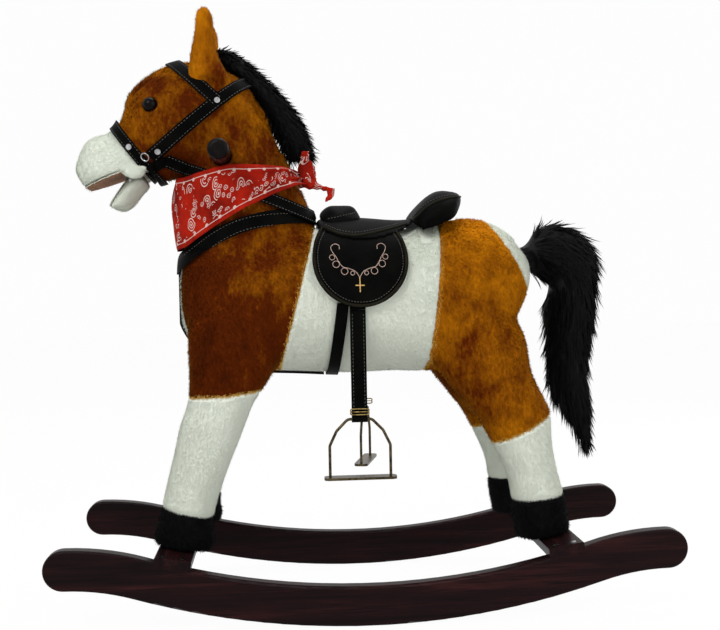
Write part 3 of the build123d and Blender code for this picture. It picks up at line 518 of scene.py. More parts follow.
def distances(points):
    """Distance of each point from the first, along their line."""
    return np.concatenate([[0], np.cumsum(np.linalg.norm(np.diff(points, axis=0), axis=1))])


def between(places, run, values):
    """Rows of values at places along a run."""
    return np.column_stack([np.interp(places, run, column) for column in values.T])


def scatter(co, tri, normals, per_mm2):
    """Seeded random points on a skin, with the skin's normals there."""
    a, b, c = co[tri[:, 0]], co[tri[:, 1]], co[tri[:, 2]]
    area = np.linalg.norm(np.cross(b - a, c - a), axis=1) / 2
    n = int(area.sum() * 1e6 * per_mm2)
    pick = rng.choice(len(tri), n, p=area / area.sum())
    u, v = rng.random(n), rng.random(n)
    flip = u + v > 1
    u[flip], v[flip] = 1 - u[flip], 1 - v[flip]
    w = 1 - u - v
    t = tri[pick]

    def mixed(q):
        return q[t[:, 0]] * w[:, None] + q[t[:, 1]] * u[:, None] + q[t[:, 2]] * v[:, None]

    return mixed(co), unit(mixed(normals))


def pile(points, normals, length, comb, width, lift, stray):
    """Short pile: one pointed blade for each point, leaning along the comb direction."""
    n = len(points)
    flow = np.tile(np.array(comb, float), (n, 1))
    flow = flow - normals * np.sum(flow * normals, axis=1, keepdims=True)
    lean = unit(normals * lift + unit(flow) * 0.8 + rng.normal(0, stray, (n, 3)))
    deep = np.sum(lean * normals, axis=1, keepdims=True)
    lean = unit(lean + normals * np.maximum(0.25 - deep, 0))
    side = unit(np.cross(lean, normals + rng.normal(0, 0.3, (n, 3))))
    inward = np.sum(np.cross(side, lean) * normals, axis=1) < 0
    side[inward] *= -1
    long = (length * rng.uniform(1 - 1.4 * stray, 1.1, n))[:, None]
    root = points - normals * 0.0004
    half = side * width / 2
    verts = np.stack([root - half, root + half, root + lean * long], axis=1).reshape(-1, 3)
    faces = np.arange(3 * n).reshape(-1, 3)
    shade = unit(normals + lean * 0.35)
    return verts, faces, np.repeat(shade, 3, axis=0)


def locks(points, normals, flow, length, radius, per_lock, width, lift, curl=0.25, segments=4):
    """Longer hair in locks whose strands close up towards the tip."""
    verts, faces, shades = [], [], []
    for p, n, f in zip(points, normals, flow):
        f = f - n * np.dot(f, n)
        heading = unit(n * lift + unit(f) + rng.normal(0, 0.16, 3))
        bend = unit(f) * 0.7 + np.array([0, 0, -0.55]) + rng.normal(0, curl, 3)
        total = length * rng.uniform(0.7, 1.15)
        side0 = unit(np.cross(heading, n) + 1e-6)
        side1 = np.cross(side0, heading)
        for _ in range(per_lock):
            r = radius * np.sqrt(rng.random())
            a = rng.random() * 2 * pi
            off = side0 * (r * cos(a)) + side1 * (r * sin(a) * 0.4)
            twist = rng.normal(0, 0.5)
            flat = side0 * cos(twist) + side1 * sin(twist)
            if np.dot(np.cross(flat, heading), n) < 0:
                flat = -flat
            reach = total * rng.uniform(0.8, 1.05)
            base = len(verts)
            for k in range(segments):
                s = k / segments
                here = p - n * 0.002 + heading * (reach * s) + bend * (reach * 0.42 * s * s)
                here = here + off * (1 - 0.8 * s)
                w = width * (1 - 0.55 * s)
                verts += [here - flat * w / 2, here + flat * w / 2]
            verts.append(p + heading * reach + bend * (reach * 0.42) + off * 0.15)
            for k in range(segments - 1):
                i = base + 2 * k
                faces.append((i, i + 1, i + 3, i + 2))
            i = base + 2 * (segments - 1)
            faces.append((i, i + 1, i + 2))
            shades += [unit(n * 0.8 + flat * 0.3 + heading * 0.2)] * (2 * segments + 1)
    return np.array(verts), faces, np.array(shades)


def dressed(name, co, faces, blades, mats, replaces, body="horse", index=None):
    """One piece of a skin and its pile, shaded by the skin's normals."""
    all_co, all_faces, all_n = [co], [tuple(f) for f in faces], [vertex_normals(co, tris_of(faces))]
    kinds = [0] * len(faces) if index is None else list(index)
    start = len(co)
    for b_co, b_faces, b_n, kind in blades:
        all_co.append(b_co)
        all_faces += [tuple(int(i) + start for i in f) for f in b_faces]
        all_n.append(b_n)
        kinds += list(kind) if hasattr(kind, "__len__") else [kind] * len(b_faces)
        start += len(b_co)
    obj = make(name, np.concatenate(all_co), all_faces, mats, body, kinds)
    obj.data.normals_split_custom_set_from_vertices([tuple(n) for n in np.concatenate(all_n)])
    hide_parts(*replaces)


# Plush skin: the sewn panels are one skin, parted again where the seams are
PANELS = ["forequarter", "barrel", "hindquarter", "rump", "neck", "head", "muzzle", "ear_left", "ear_right",
          "front_leg_left", "front_leg_right", "hind_leg_left", "hind_leg_right",
          "front_stockings", "hind_stockings", "front_hooves", "hind_hooves"]
WHITE_PANELS = ("barrel", "rump", "muzzle", "front_stockings", "hind_stockings")
PANEL_SLOT = {**dict.fromkeys(PANELS, "brown_plush"), **dict.fromkeys(WHITE_PANELS, "white_plush"),
              "front_hooves": "black_plush", "hind_hooves": "black_plush"}
TINT = {"brown_plush": 0, "white_plush": 1, "black_plush": 2}

# Rounded corners of the mouth join the muzzle
CORNER_PLACE = (-271, 446, 36.5)
CORNER_SIZE = (0.0165, 0.0072, 0.0115)
SKIN_VOXEL = 0.0035
SKIN_SINK = 0.0014
cad_co, cad_tri, cad_owner = joined([nodes[name] for name in PANELS])
for side in (-1, 1):
    ball = bmesh.new()
    bmesh.ops.create_uvsphere(ball, u_segments=24, v_segments=14, radius=1.0)
    bmesh.ops.triangulate(ball, faces=ball.faces)
    ball.verts.index_update()
    corner = np.array([v.co[:] for v in ball.verts]) * CORNER_SIZE
    tri = np.array([[v.index for v in f.verts] for f in ball.faces])
    ball.free()
    cad_tri = np.vstack([cad_tri, tri + len(cad_co)])
    cad_co = np.vstack([cad_co, corner + pt(*CORNER_PLACE[:2], side * CORNER_PLACE[2])])
    cad_owner = np.concatenate([cad_owner, np.full(len(tri), PANELS.index("muzzle"))])
cad_tree = tree_from(cad_co, cad_tri)
skin_co, skin_faces, skin_edges = voxels(cad_co, cad_tri, SKIN_VOXEL)

# The trunk is smoothed most, and the rest of the skin a little
x, y, z = skin_co.T
trunk = (z > 0.24) & (z < 0.47) & (np.abs(y) > 0.02) & (x > -0.24) & (x < 0.26)
soft = relax(np.where(trunk, 1.0, 0.0)[:, None], skin_edges, times=6, share=1.0)[:, 0]
skin_co = relax(skin_co, skin_edges, times=40, weight=soft)
skin_co = relax(skin_co, skin_edges, times=5)

skin_n = vertex_normals(skin_co, tris_of(skin_faces))
nearest = [cad_tree.find_nearest(Vector(p)) for p in skin_co]
owner = np.array([cad_owner[h[2]] for h in nearest])
skin_co -= skin_n * SKIN_SINK

# Panels part on the sewn line: the nearer end of every edge that crosses it is drawn on to it
panel_tree = [tree_from(*arrays(nodes[name])) for name in PANELS]
drawn_to = {}
for i, j in skin_edges[owner[skin_edges[:, 0]] != owner[skin_edges[:, 1]]]:
    ends = []
    for v, w in ((i, j), (j, i)):
        hit = panel_tree[owner[w]].find_nearest(Vector(skin_co[v]))
        step = np.array(hit[0]) - skin_co[v]
        step -= skin_n[v] * (step @ skin_n[v])
        ends.append((float(np.linalg.norm(step)), v, step))
    far, v, step = min(ends, key=lambda e: e[0])
    if far < SKIN_VOXEL and far < drawn_to.get(v, (1, 0))[0]:
        drawn_to[v] = (far, step)
on_seam = np.zeros(len(skin_co), bool)
for v, (_, step) in drawn_to.items():
    skin_co[v] += step
    on_seam[v] = True
parted, face_owner = [], []
for f in skin_faces:
    own = [owner[v] for v in f if not on_seam[v]]
    if len(set(own)) > 1 and len(f) == 4:
        for a, b, c in ((0, 1, 2), (2, 3, 0), (1, 2, 3), (3, 0, 1)):
            if on_seam[f[a]] and on_seam[f[c]] and not on_seam[f[b]]:
                parted.append([f[a], f[b], f[c]])
                face_owner.append(owner[f[b]])
        if on_seam[f[0]] == on_seam[f[1]]:
            parted.append(f)
            face_owner.append(np.bincount(own).argmax())
    else:
        parted.append(f)
        face_owner.append(np.bincount(own or owner[f]).argmax())
skin_faces, face_owner = parted, np.array(face_owner)
centre = np.array([skin_co[f].mean(axis=0) for f in skin_faces])

# Sewn seams: the skin is drawn in where two panels meet and along the seams of the head
SEAM_DEPTH = 0.0016
GROOVE_DEPTH, GROOVE_WIDTH = 0.0034, 0.0028
SWELL_HEIGHT, SWELL_PLACE, SWELL_WIDTH = 0.0012, 0.006, 0.003
hue = np.array([TINT[PANEL_SLOT[p]] for p in PANELS])
two_tone = np.zeros(len(skin_co), bool)
for i, j in skin_edges[hue[owner[skin_edges[:, 0]]] != hue[owner[skin_edges[:, 1]]]]:
    two_tone[[i, j]] = True
skin_co -= skin_n * (SEAM_DEPTH * (on_seam & two_tone))[:, None]
HEAD_SEAMS = [[(-214, 572), (-228, 569), (-249, 560), (-270, 542), (-284, 524), (-290, 509)],
              [(-141, 539), (-120, 516), (-102, 492), (-94, 471)]]
for line in HEAD_SEAMS:
    line = np.array([pt(*p) for p in line])[:, [0, 2]]
    even = between(np.linspace(0, 1, 90), np.linspace(0, 1, len(line)), line)
    away = np.full(len(skin_co), 1.0)
    part = np.nonzero((owner == PANELS.index("head")) | (owner == PANELS.index("neck")))[0]
    away[part] = np.linalg.norm(skin_co[part][:, None, [0, 2]] - even[None], axis=2).min(axis=1)
    swell = SWELL_HEIGHT * np.exp(-((away - SWELL_PLACE) / SWELL_WIDTH) ** 2)
    groove = GROOVE_DEPTH * np.exp(-(away / GROOVE_WIDTH) ** 2)
    skin_co += skin_n * (swell - groove)[:, None]


def tint(name, points, normals):
    """0 brown, 1 white, 2 black, with the white blaze and the white chest panel."""
    kind = np.full(len(points), TINT[PANEL_SLOT[name]])
    px, py, pz = points.T
    if name == "head":
        half = 0.0085 + 0.06 * np.clip(pz - 0.60, 0, 0.08)
        kind[(np.abs(py) < half) & (px < -0.20) & (normals[:, 0] < 0.1) & (pz > 0.56)] = 1
    if name in ("forequarter", "neck"):
        chest = (np.abs(py) < 0.030) & (px < -0.17) & (pz > 0.30) & (pz < 0.432) & (normals[:, 0] < -0.2)
        kind[chest] = 1
    return kind


# Points on the two-tone seams, beside which the brown pile gets a painted highlight.
sewn_line = KDTree(int((on_seam & two_tone).sum()))
for i, v in enumerate(np.nonzero(on_seam & two_tone)[0]):
    sewn_line.insert(Vector(skin_co[v]), i)
sewn_line.balance()
SEAM_HIGHLIGHT_WIDTH = 0.0056


def seam_highlighted(kind, points):
    """Brown pile beside a seam stands up there and gets the golden seam colour, a painted highlight where the
    raised pile catches the light.
    """
    for i in np.nonzero(kind == 0)[0]:
        if sewn_line.find(Vector(points[i]))[2] < SEAM_HIGHLIGHT_WIDTH * rng.uniform(0.5, 1.0):
            kind[i] = 3
    return kind


STRAPS = ["stirrup_billets", "girth", "breast_strap", "chest_strap", "browband", "cheek_straps",
          "poll_strap", "noseband", "reins"]
FLAPS = ["saddle_flap_left", "saddle_flap_right"]
TACK = ["saddle_seat", "pommel", "cantle", *FLAPS, *STRAPS, "bridle_metal", "bandana", "bandana_knot", "eyes",
        "handle_bar", "mane", "tail", "front_slat", "rear_slat"]
TACK_UNDER, TACK_REACH = 0.004, 0.016
tack_tree = tree_of(*[nodes[name] for name in TACK])


def bare(points, normals):
    """True where nothing lies on the plush."""
    return np.array([tack_tree.ray_cast(Vector(p - n * TACK_UNDER), Vector(n), TACK_REACH)[0] is None
                     for p, n in zip(points, normals)], bool)


# Pile: blades on a square millimetre, then their width, lift and stray
PALE_DENSITY, PALE_BLADE = 1.9, (0.00055, 0.40, 0.19)
DARK_DENSITY, DARK_BLADE = 0.66, (0.0010, 0.45, 0.28)
LENGTH = {"muzzle": 0.0034, "ear_left": 0.0038, "ear_right": 0.0038}
FACE_COMB = (0.75, 0, 0.15)
EAR_COMB = (0.1, 0, 1)
LEG_COMB = (0.12, 0, -1.0)
TRUNK_COMB = (0.45, 0, -0.85)
COMB = {"head": FACE_COMB, "muzzle": FACE_COMB, "ear": EAR_COMB, "front": LEG_COMB, "hind": LEG_COMB}
for k, name in enumerate(PANELS):
    chosen = np.nonzero(face_owner == k)[0]
    used = np.unique(np.concatenate([skin_faces[i] for i in chosen]))
    index = {v: i for i, v in enumerate(used)}
    co = skin_co[used]
    faces = [[index[v] for v in skin_faces[i]] for i in chosen]
    slot = PANEL_SLOT[name]
    pale = slot == "white_plush"
    points, normals = scatter(co, tris_of(faces), skin_n[used], PALE_DENSITY if pale else DARK_DENSITY)
    clear = bare(points, normals)
    points, normals = points[clear], normals[clear]
    length = LENGTH.get(name, 0.0034 if pale else 0.0046)
    comb = COMB.get(name.split("_")[0], TRUNK_COMB)
    blades = pile(points, normals, length, comb, *(PALE_BLADE if pale else DARK_BLADE))
    # Kind 3 is brown pile beside a seam with the painted golden highlight.
    dressed(name + "_plush", co, faces, [(*blades, seam_highlighted(tint(name, points, normals), points))],
            [BROWN, WHITE, BLACK, SEAM_HIGHLIGHT], [name],
            index=tint(name, centre[chosen], skin_n[[skin_faces[i][0] for i in chosen]]))

# Lower jaw on its own hinge
FUR_LENGTH = 0.0033
JAW_SINK, JAW_BARE = 0.001, 0.75
co, faces, tri, normals = skin_of("lower_jaw", size=0.0022, times=4)
co = co - normals * JAW_SINK
points, pn = scatter(co, tri, normals, PALE_DENSITY)
keep = pn[:, 2] < JAW_BARE
blades = pile(points[keep], pn[keep], FUR_LENGTH, FACE_COMB, *PALE_BLADE)
dressed("lower_jaw_plush", co, faces, [(*blades, 0)], [WHITE], ["lower_jaw"], "jaw")

# Mouth linings: felt towards the mouth, fur round their outer edge
FELT_FACING, FELT_DENSITY = 0.72, 1.6
FELT_LENGTH, FELT_COMB, FELT_BLADE = 0.0014, (0.4, 0, 0.2), (0.0005, 0.45, 0.28)
for name, body, inside in (("palate_lining", "horse", (0.36, 0, -0.93)),
                           ("jaw_lining", "jaw", (-0.83, 0, 0.55))):
    co, faces, tri, normals = skin_of(name, size=0.0016, times=3)
    points, pn = scatter(co, tri, normals, FELT_DENSITY)
    felt = pn @ np.array(inside) > FELT_FACING
    short = pile(points[felt], pn[felt], FELT_LENGTH, FELT_COMB, *FELT_BLADE)
    fur = pile(points[~felt], pn[~felt], FUR_LENGTH, FACE_COMB, *PALE_BLADE)
    kinds = [0 if normals[f].mean(axis=0) @ np.array(inside) > FELT_FACING else 1 for f in faces]
    dressed(name + "_felt", co, faces, [(*short, 0), (*fur, 1)], [FELT, WHITE], [name], body,
            kinds)

# Mane and tail hair
MANE_SINK, MANE_COMB, MANE_SPREAD = 0.003, (0.42, 0, -0.60), 0.35
co, faces, tri, normals = skin_of("mane", size=0.003, times=6)
co = co - normals * MANE_SINK
points, pn = scatter(co, tri, normals, per_mm2=0.13)
flow = np.tile(unit(np.array(MANE_COMB)), (len(points), 1))
flow[:, 1] += np.sign(points[:, 1]) * MANE_SPREAD
hair = locks(points, pn, flow, length=0.0125, radius=0.0026, per_lock=7, width=0.0011, lift=0.75)
dressed("mane_hair", co, faces, [(*hair, 0)], [HAIR], ["mane"])

TAIL_SINK, TAIL_ROOT = 0.0062, 0.212
TAIL_LINE = np.array([pt(196, 335), pt(225, 342), pt(258, 345), pt(283, 322), pt(276, 270),
                      pt(270, 222), pt(268, 180), pt(278, 138), pt(288, 100), pt(292, 80)])


def tail_flow(points):
    away = np.linalg.norm(points[:, None, :] - TAIL_LINE[None, :-1], axis=2)
    step = unit(np.diff(TAIL_LINE, axis=0))
    share = 1 / np.maximum(away, 0.005) ** 3
    return unit((share[:, :, None] * step[None]).sum(axis=1))


co, faces, tri, normals = skin_of("tail", size=0.0032, times=6)
co = co - normals * TAIL_SINK
points, pn = scatter(co, tri, normals, per_mm2=0.075)
keep = points[:, 0] > TAIL_ROOT
points, pn = points[keep], pn[keep]
hair = locks(points, pn, tail_flow(points), length=0.022, radius=0.0036, per_lock=8, width=0.0012, lift=0.2,
             curl=0.16)
dressed("tail_hair", co, faces, [(*hair, 0)], [HAIR], ["tail"], "tail_assembly")


# Lines laid on a surface, for piping, stitches and embroidery
def rounded(points, step=1.0, closed=False):
    """Evenly spaced points on a smooth line through the given ones."""
    p = np.array(points, float)
    if closed:
        p = np.vstack([p[-1], p, p[0], p[1]])
    else:
        p = np.vstack([2 * p[0] - p[1], p, 2 * p[-1] - p[-2]])
    out = []
    for i in range(1, len(p) - 2):
        for t in np.linspace(0, 1, 24, endpoint=False):
            a, b, c, d = p[i - 1], p[i], p[i + 1], p[i + 2]
            out.append(0.5 * (2 * b + (c - a) * t + (2 * a - 5 * b + 4 * c - d) * t * t
                              + (3 * b - a - 3 * c + d) * t ** 3))
    out.append(p[-2])
    out = np.array(out)
    run = distances(out)
    return between(np.linspace(0, run[-1], max(int(run[-1] / step), 2)), run, out)


def laid(tree, line, side, lift=0.0):
    """Places and normals where a side-view line in millimetres meets a surface; a new run after each gap."""
    runs = [[]]
    for x, h in line:
        place, normal = tree.ray_cast(Vector(pt(x, h, side * 300)), Vector((0, -side, 0)))[:2]
        if place is None or place.y * side < 0.01:
            runs.append([])
            continue
        normal = np.array(normal if normal.y * side > 0 else -normal)
        runs[-1].append((np.array(place) + normal * lift, normal))
    return [np.array(run).transpose(1, 0, 2) for run in runs if len(run) > 2]


def ring_faces(rows, sides):
    """Faces of a row of rings with closed ends."""
    faces = []
    for k in range(rows - 1):
        for j in range(sides):
            a, b = k * sides + j, k * sides + (j + 1) % sides
            faces.append((a, b, b + sides, a + sides))
    return faces + [tuple(range(sides))[::-1], tuple(range((rows - 1) * sides, rows * sides))]


def tube(path, radius, sides=8, normals=None):
    """Round tube along a line, with closed ends."""
    path = np.asarray(path)
    if normals is None:
        normals = np.tile((0.03, 0.99, 0.1), (len(path), 1))
    verts = []
    for p, heading, normal in zip(path, unit(np.gradient(path, axis=0)), normals):
        a = unit(np.cross(heading, normal))
        b = np.cross(a, heading)
        for t in np.arange(sides) * 2 * pi / sides:
            verts.append(p + a * (radius * cos(t)) + b * (radius * sin(t)))
    return verts, ring_faces(len(path), sides)


THREAD_LIFT = 0.0002
STITCH_DIP, STITCH_LIFT, STITCH_START = 0.0004, 0.0001, 0.0006


class Gather:
    """Many small pieces of one kind, laid along side-view lines and collected into one object."""

    def __init__(self):
        self.co, self.faces = [], []

    def add(self, verts, faces):
        start = len(self.co)
        self.co += [tuple(v) for v in verts]
        self.faces += [tuple(i + start for i in f) for f in faces]

    def cord(self, tree, line, side, radius, sides=8, lift=THREAD_LIFT):
        for path, normals in laid(tree, line, side, lift):
            self.add(*tube(path, radius, sides, normals))

    def sew(self, tree, line, side, length=2.6, gap=1.7, width=0.0006):
        """Stitches whose ends dip into the surface; length and gap in millimetres."""
        for path, normals in laid(tree, line, side):
            run = distances(path)
            start = STITCH_START
            while start + length / 1000 < run[-1]:
                places = np.linspace(start, start + length / 1000, 4)
                out = unit(between(places, run, normals))
                stitch = between(places, run, path)
                stitch[[0, -1]] -= out[[0, -1]] * STITCH_DIP
                self.add(*tube(stitch + out * STITCH_LIFT, width / 2, 5, out))
                start += (length + gap) / 1000

    def strip(self, tree, line, side, width, thick):
        """Flat band with bevelled edges, sunk a little into the surface."""
        for path, normals in laid(tree, line, side):
            normals = unit(normals)
            beside = unit(np.cross(unit(np.gradient(path, axis=0)), normals)) * width
            verts = []
            for p, n, c in zip(path, normals, beside):
                verts += [p - c / 2 - n * 0.002, p + c / 2 - n * 0.002, p + c / 2 + n * thick * 0.75,
                          p + c * 0.42 + n * thick, p - c * 0.42 + n * thick, p - c / 2 + n * thick * 0.75]
            self.add(verts, ring_faces(len(path), 6))

    def done(self, name, mat, body="horse", slot=None):
        return make(name, self.co, self.faces, mat, body)


def offset(line, away):
    """Side-view line moved sideways."""
    line = np.asarray(line, float)
    d = unit(np.gradient(line, axis=0))
    return line + np.column_stack([-d[:, 1], d[:, 0]]) * away


# Straps keep their CAD solids and get leather, with sewn edges
coat(LEATHER, *STRAPS, *FLAPS, "stirrup_strap_left", "stirrup_strap_right")
STRAP_LINES = {
    "browband": ([(-169, 527), (-228, 584)], 5.8),
    "poll_strap": ([(-169, 527), (-112, 572)], 5.8),
    "cheek_straps": ([(-169, 527), (-250, 461)], 5.8),
    "noseband": ([(-308, 518), (-238, 427)], 4.4),
    "reins": ([(-232, 457), (-52, 388)], 5.4),
    "breast_strap": ([(-40, 388), (-146, 377), (-236, 322)], 6.6),
}
sewn = Gather()
for name, (line, away) in STRAP_LINES.items():
    tree = tree_of(nodes[name])
    middle = rounded(line)
    for beside in (away, -away):
        for side in (-1, 1):
            sewn.sew(tree, offset(middle, beside), side)
sewn.done("strap_stitches", THREAD, slot="black_leather")
sewn = Gather()
tree = tree_of(nodes["stirrup_strap_left"])
for x in (-14.6, -1.4):
    sewn.sew(tree, rounded([(x, 271), (x, 210), (x, 152)]), -1)
sewn.done("stirrup_strap_left_stitches", THREAD, "left_strap", "black_leather")

# Rein ends, buckles and a blank ribbon, which only the looks need
REIN_END = rounded([(-253, 445), (-246, 451), (-236, 456), (-228, 456)], 1.5)
cheek_tree = tree_of(nodes["head"], nodes["muzzle"], nodes["noseband"])
ends = Gather()
for side in (-1, 1):
    ends.strip(cheek_tree, REIN_END, side, width=0.013, thick=0.0026)
outward(ends.done("rein_ends", LEATHER, slot="black_leather"))

BUCKLE_FRAME = rounded([(-10, 3), (0, 3.4), (10, 3), (10.5, 0), (10, -3), (0, -3.4), (-10, -3), (-10.5, 0)],
                       0.6, True)
STRAP_END, BUCKLE_HEIGHT, BUCKLE_LIFT = 0.024, 0.013, 0.0009
for side, hand in ((-1, "left"), (1, "right")):
    co, _ = arrays(nodes["stirrup_strap_" + hand])
    low = co[:, 2].min()
    end = co[co[:, 2] < low + STRAP_END]
    x, z = end[:, 0].mean(), low + BUCKLE_HEIGHT
    y = side * ((end[:, 1] * side).max() + BUCKLE_LIFT)
    tongue = [(x - 0.0098, y, z), (x, y + side * 0.001, z), (x + 0.0102, y + side * 0.0006, z)]
    buckle = Gather()
    buckle.add(*tube([(x + a / 1000, y, z + b / 1000) for a, b in BUCKLE_FRAME], 0.0008))
    buckle.add(*tube(tongue, 0.0006))
    buckle.done("stirrup_strap_" + hand + "_buckle", BRASS, hand + "_strap")

RIBBON_PLACE = (400, 236, -16)
RIBBON_LENGTH, RIBBON_WIDTH, RIBBON_GAP, RIBBON_THICKNESS = 0.017, 0.013, 0.0032, 0.0005
RIBBON_ROWS = 9
tag_tree = tree_of(nodes["hindquarter"], nodes["hind_leg_left"])
root = np.array(tag_tree.ray_cast(Vector(pt(*RIBBON_PLACE)), Vector((-1, 0, 0)))[0])
verts = []
for t in np.linspace(0, pi, RIBBON_ROWS):
    out, y = RIBBON_LENGTH * abs(sin(t)) ** 0.8 - 0.003, -RIBBON_GAP / 2 * cos(t)
    for w, d in ((-0.5, 0), (-0.5, RIBBON_THICKNESS), (0.5, RIBBON_THICKNESS), (0.5, 0)):
        verts.append(root + np.array([out - d * sin(t), y + d * cos(t), w * RIBBON_WIDTH]))
make("blank_ribbon", verts, ring_faces(RIBBON_ROWS, 4), RIBBON)


# Saddle: padded seat, pommel and cantle, with piped and stitched edges
def padded_leather(name, size, outline=None):
    """Leather cover over a padded piece, drawn in side view to an outline where one is given."""
    co, faces, _, _ = skin_of(name, size, times=5)
    if outline is not None:
        sectors = 48
        even = rounded([1000 * pt(*p)[[0, 2]] for p in outline], 0.5, True) / 1000
        corners = np.array([pt(*p)[[0, 2]] for p in outline])
        middle = (corners.max(axis=0) + corners.min(axis=0)) / 2
        flat, even = co[:, [0, 2]] - middle, even - middle
        angle = np.arctan2(flat[:, 1], flat[:, 0])
        bounds = np.linspace(-pi, pi, sectors + 1)
        half = (bounds[:-1] + bounds[1:]) / 2
        which = np.clip(np.digitize(angle, bounds) - 1, 0, sectors - 1)
        reach = np.linalg.norm(flat, axis=1)
        have = np.array([reach[which == k].max() if (which == k).any() else 0.01 for k in range(sectors)])
        even_angle = np.arctan2(even[:, 1], even[:, 0])
        order = np.argsort(even_angle)
        want = np.interp(half, even_angle[order], np.linalg.norm(even, axis=1)[order], period=2 * pi)
        gain = np.clip(want / have, 0.75, 1.5)
        for _ in range(3):
            gain = 0.5 * gain + 0.25 * (np.roll(gain, 1) + np.roll(gain, -1))
        co[:, [0, 2]] = middle + flat * np.interp(angle, half, gain, period=2 * pi)[:, None]
    obj = make(name + "_cover", co, faces, LEATHER)
    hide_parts(name)
    return obj


POMMEL_OUTLINE = [(-48, 392), (-38, 403), (-23, 404), (-5, 403), (0, 393), (1, 385), (-13, 378), (-26, 376),
                  (-38, 379)]
CANTLE_OUTLINE = [(62, 385), (74, 401), (89, 415), (102, 421), (114, 421), (131, 412), (128, 401), (116, 385),
                  (101, 378), (84, 371), (74, 371), (62, 380)]
POMMEL_SEAMS = ([(-39, 386), (-24, 389), (-4, 394)], [(-27, 379.5), (-14, 380), (-3, 381)])
CANTLE_EDGE = [(66, 383), (81, 397), (99, 406), (126, 411)]
SEAT_EDGE = [(-44, 375), (-28, 367.5), (-9, 364), (12, 366.5), (36, 372), (58, 378)]
seat = tree_of(padded_leather("saddle_seat", size=0.0025))
pommel = tree_of(padded_leather("pommel", size=0.0022, outline=POMMEL_OUTLINE))
cantle = tree_of(padded_leather("cantle", size=0.0024, outline=CANTLE_OUTLINE))
sewn, piped = Gather(), Gather()
for line in POMMEL_SEAMS:
    for side in (-1, 1):
        sewn.sew(pommel, rounded(line, 0.8), side, length=2.2, gap=1.6)
for cover, line in ((cantle, CANTLE_EDGE), (seat, SEAT_EDGE)):
    for side in (-1, 1):
        piped.cord(cover, rounded(line, 1.2), side, radius=0.0015, lift=0.0001)
        sewn.sew(cover, offset(rounded(line, 0.8), 4.0), side, length=2.2, gap=1.6)
sewn.done("saddle_stitches", THREAD, slot="black_leather")
piped.done("saddle_piping", PIPING, slot="black_leather")

# Flaps: piped and stitched edge, with a scroll and a cross about the middle line
FLAP_MIDDLE = -5
FLAP_EDGE = [(-48, 376), (-57.2, 356), (-60, 335), (-56, 314), (-43, 295), (-24, 282), (-3, 278), (18, 282),
             (37, 295), (50, 314), (54, 335), (51.2, 356), (42, 376)]
SCROLL = [(0, 313), (-4.5, 320), (-12.5, 324), (-19.4, 326), (-24, 332), (-27, 338), (-31, 344), (-32.5, 350),
          (-28, 353.5), (-23, 351.5), (-22.6, 347)]
CURLS = [(-8.2, 318.4, 2.3), (-17.6, 320.8, 3.9), (-27.2, 329.2, 3.9), (-31.6, 337.4, 3.1)]
CROSS = ([(0, 313), (0, 304), (0, 296)], [(-5.5, 304), (0, 304), (5.5, 304)])
for side, name in ((-1, "saddle_flap_left"), (1, "saddle_flap_right")):
    tree = tree_of(nodes[name])
    piped, sewn, scroll, cross = Gather(), Gather(), Gather(), Gather()
    piped.cord(tree, offset(rounded(FLAP_EDGE, 1.5), 2.2), side, radius=0.0017)
    sewn.sew(tree, offset(rounded(FLAP_EDGE), 6.4), side, length=2.2, gap=1.4)
    for hand in (-1, 1):
        line = [(FLAP_MIDDLE + hand * a, h) for a, h in SCROLL]
        scroll.cord(tree, rounded(line, 0.6), side, radius=0.00042, sides=5)
        for a, h, r in CURLS:
            ring = [(FLAP_MIDDLE + hand * a + r * cos(t), h + r * sin(t)) for t in np.linspace(0, 2 * pi, 30)]
            scroll.cord(tree, ring, side, radius=0.0004, sides=5)
    for line in CROSS:
        line = [(FLAP_MIDDLE + a, h) for a, h in line]
        cross.cord(tree, rounded(line, 0.6), side, radius=0.0007, sides=5)
    piped.done(name + "_piping", PIPING, slot="black_leather")
    sewn.done(name + "_stitches", THREAD, slot="black_leather")
    scroll.done(name + "_scroll", ROSE_THREAD, slot="black_leather")
    cross.done(name + "_cross", GOLD_THREAD, slot="black_leather")


# Bandana: a red neckerchief laid round the neck over the reins, gathered at the back
UPPER_HEM = ([-240, -212, -156, -90, -60], [439, 438, 451, 450, 445])
LOWER_HEM = ([-240, -212, -140, -77, -60], [347, 354, 398, 429, 429])
NECK_MIDDLE, NECK_LONG, NECK_WIDE = -146.0, 84.0, 62.0
CLOTH_THICKNESS = 0.0012
CLOTH_GAP = 0.0008
KNOT_CREASE = 0.0011
around, across = 132, 26
neck_tree = tree_of(nodes["bandana"], nodes["reins"])
turns = [pi * (0.06 + 1.88 * i / (around - 1)) for i in range(around)]
outs = [unit(np.array([cos(t) / NECK_LONG, sin(t) / NECK_WIDE, 0.0])) for t in turns]
shares = np.linspace(0, 1, across)


def eased(grid, share):
    """Draws the inner points of the cloth towards their four neighbours."""
    beside = grid[2:, 1:-1] + grid[:-2, 1:-1] + grid[1:-1, 2:] + grid[1:-1, :-2]
    grid[1:-1, 1:-1] = share * grid[1:-1, 1:-1] + (1 - share) / 4 * beside


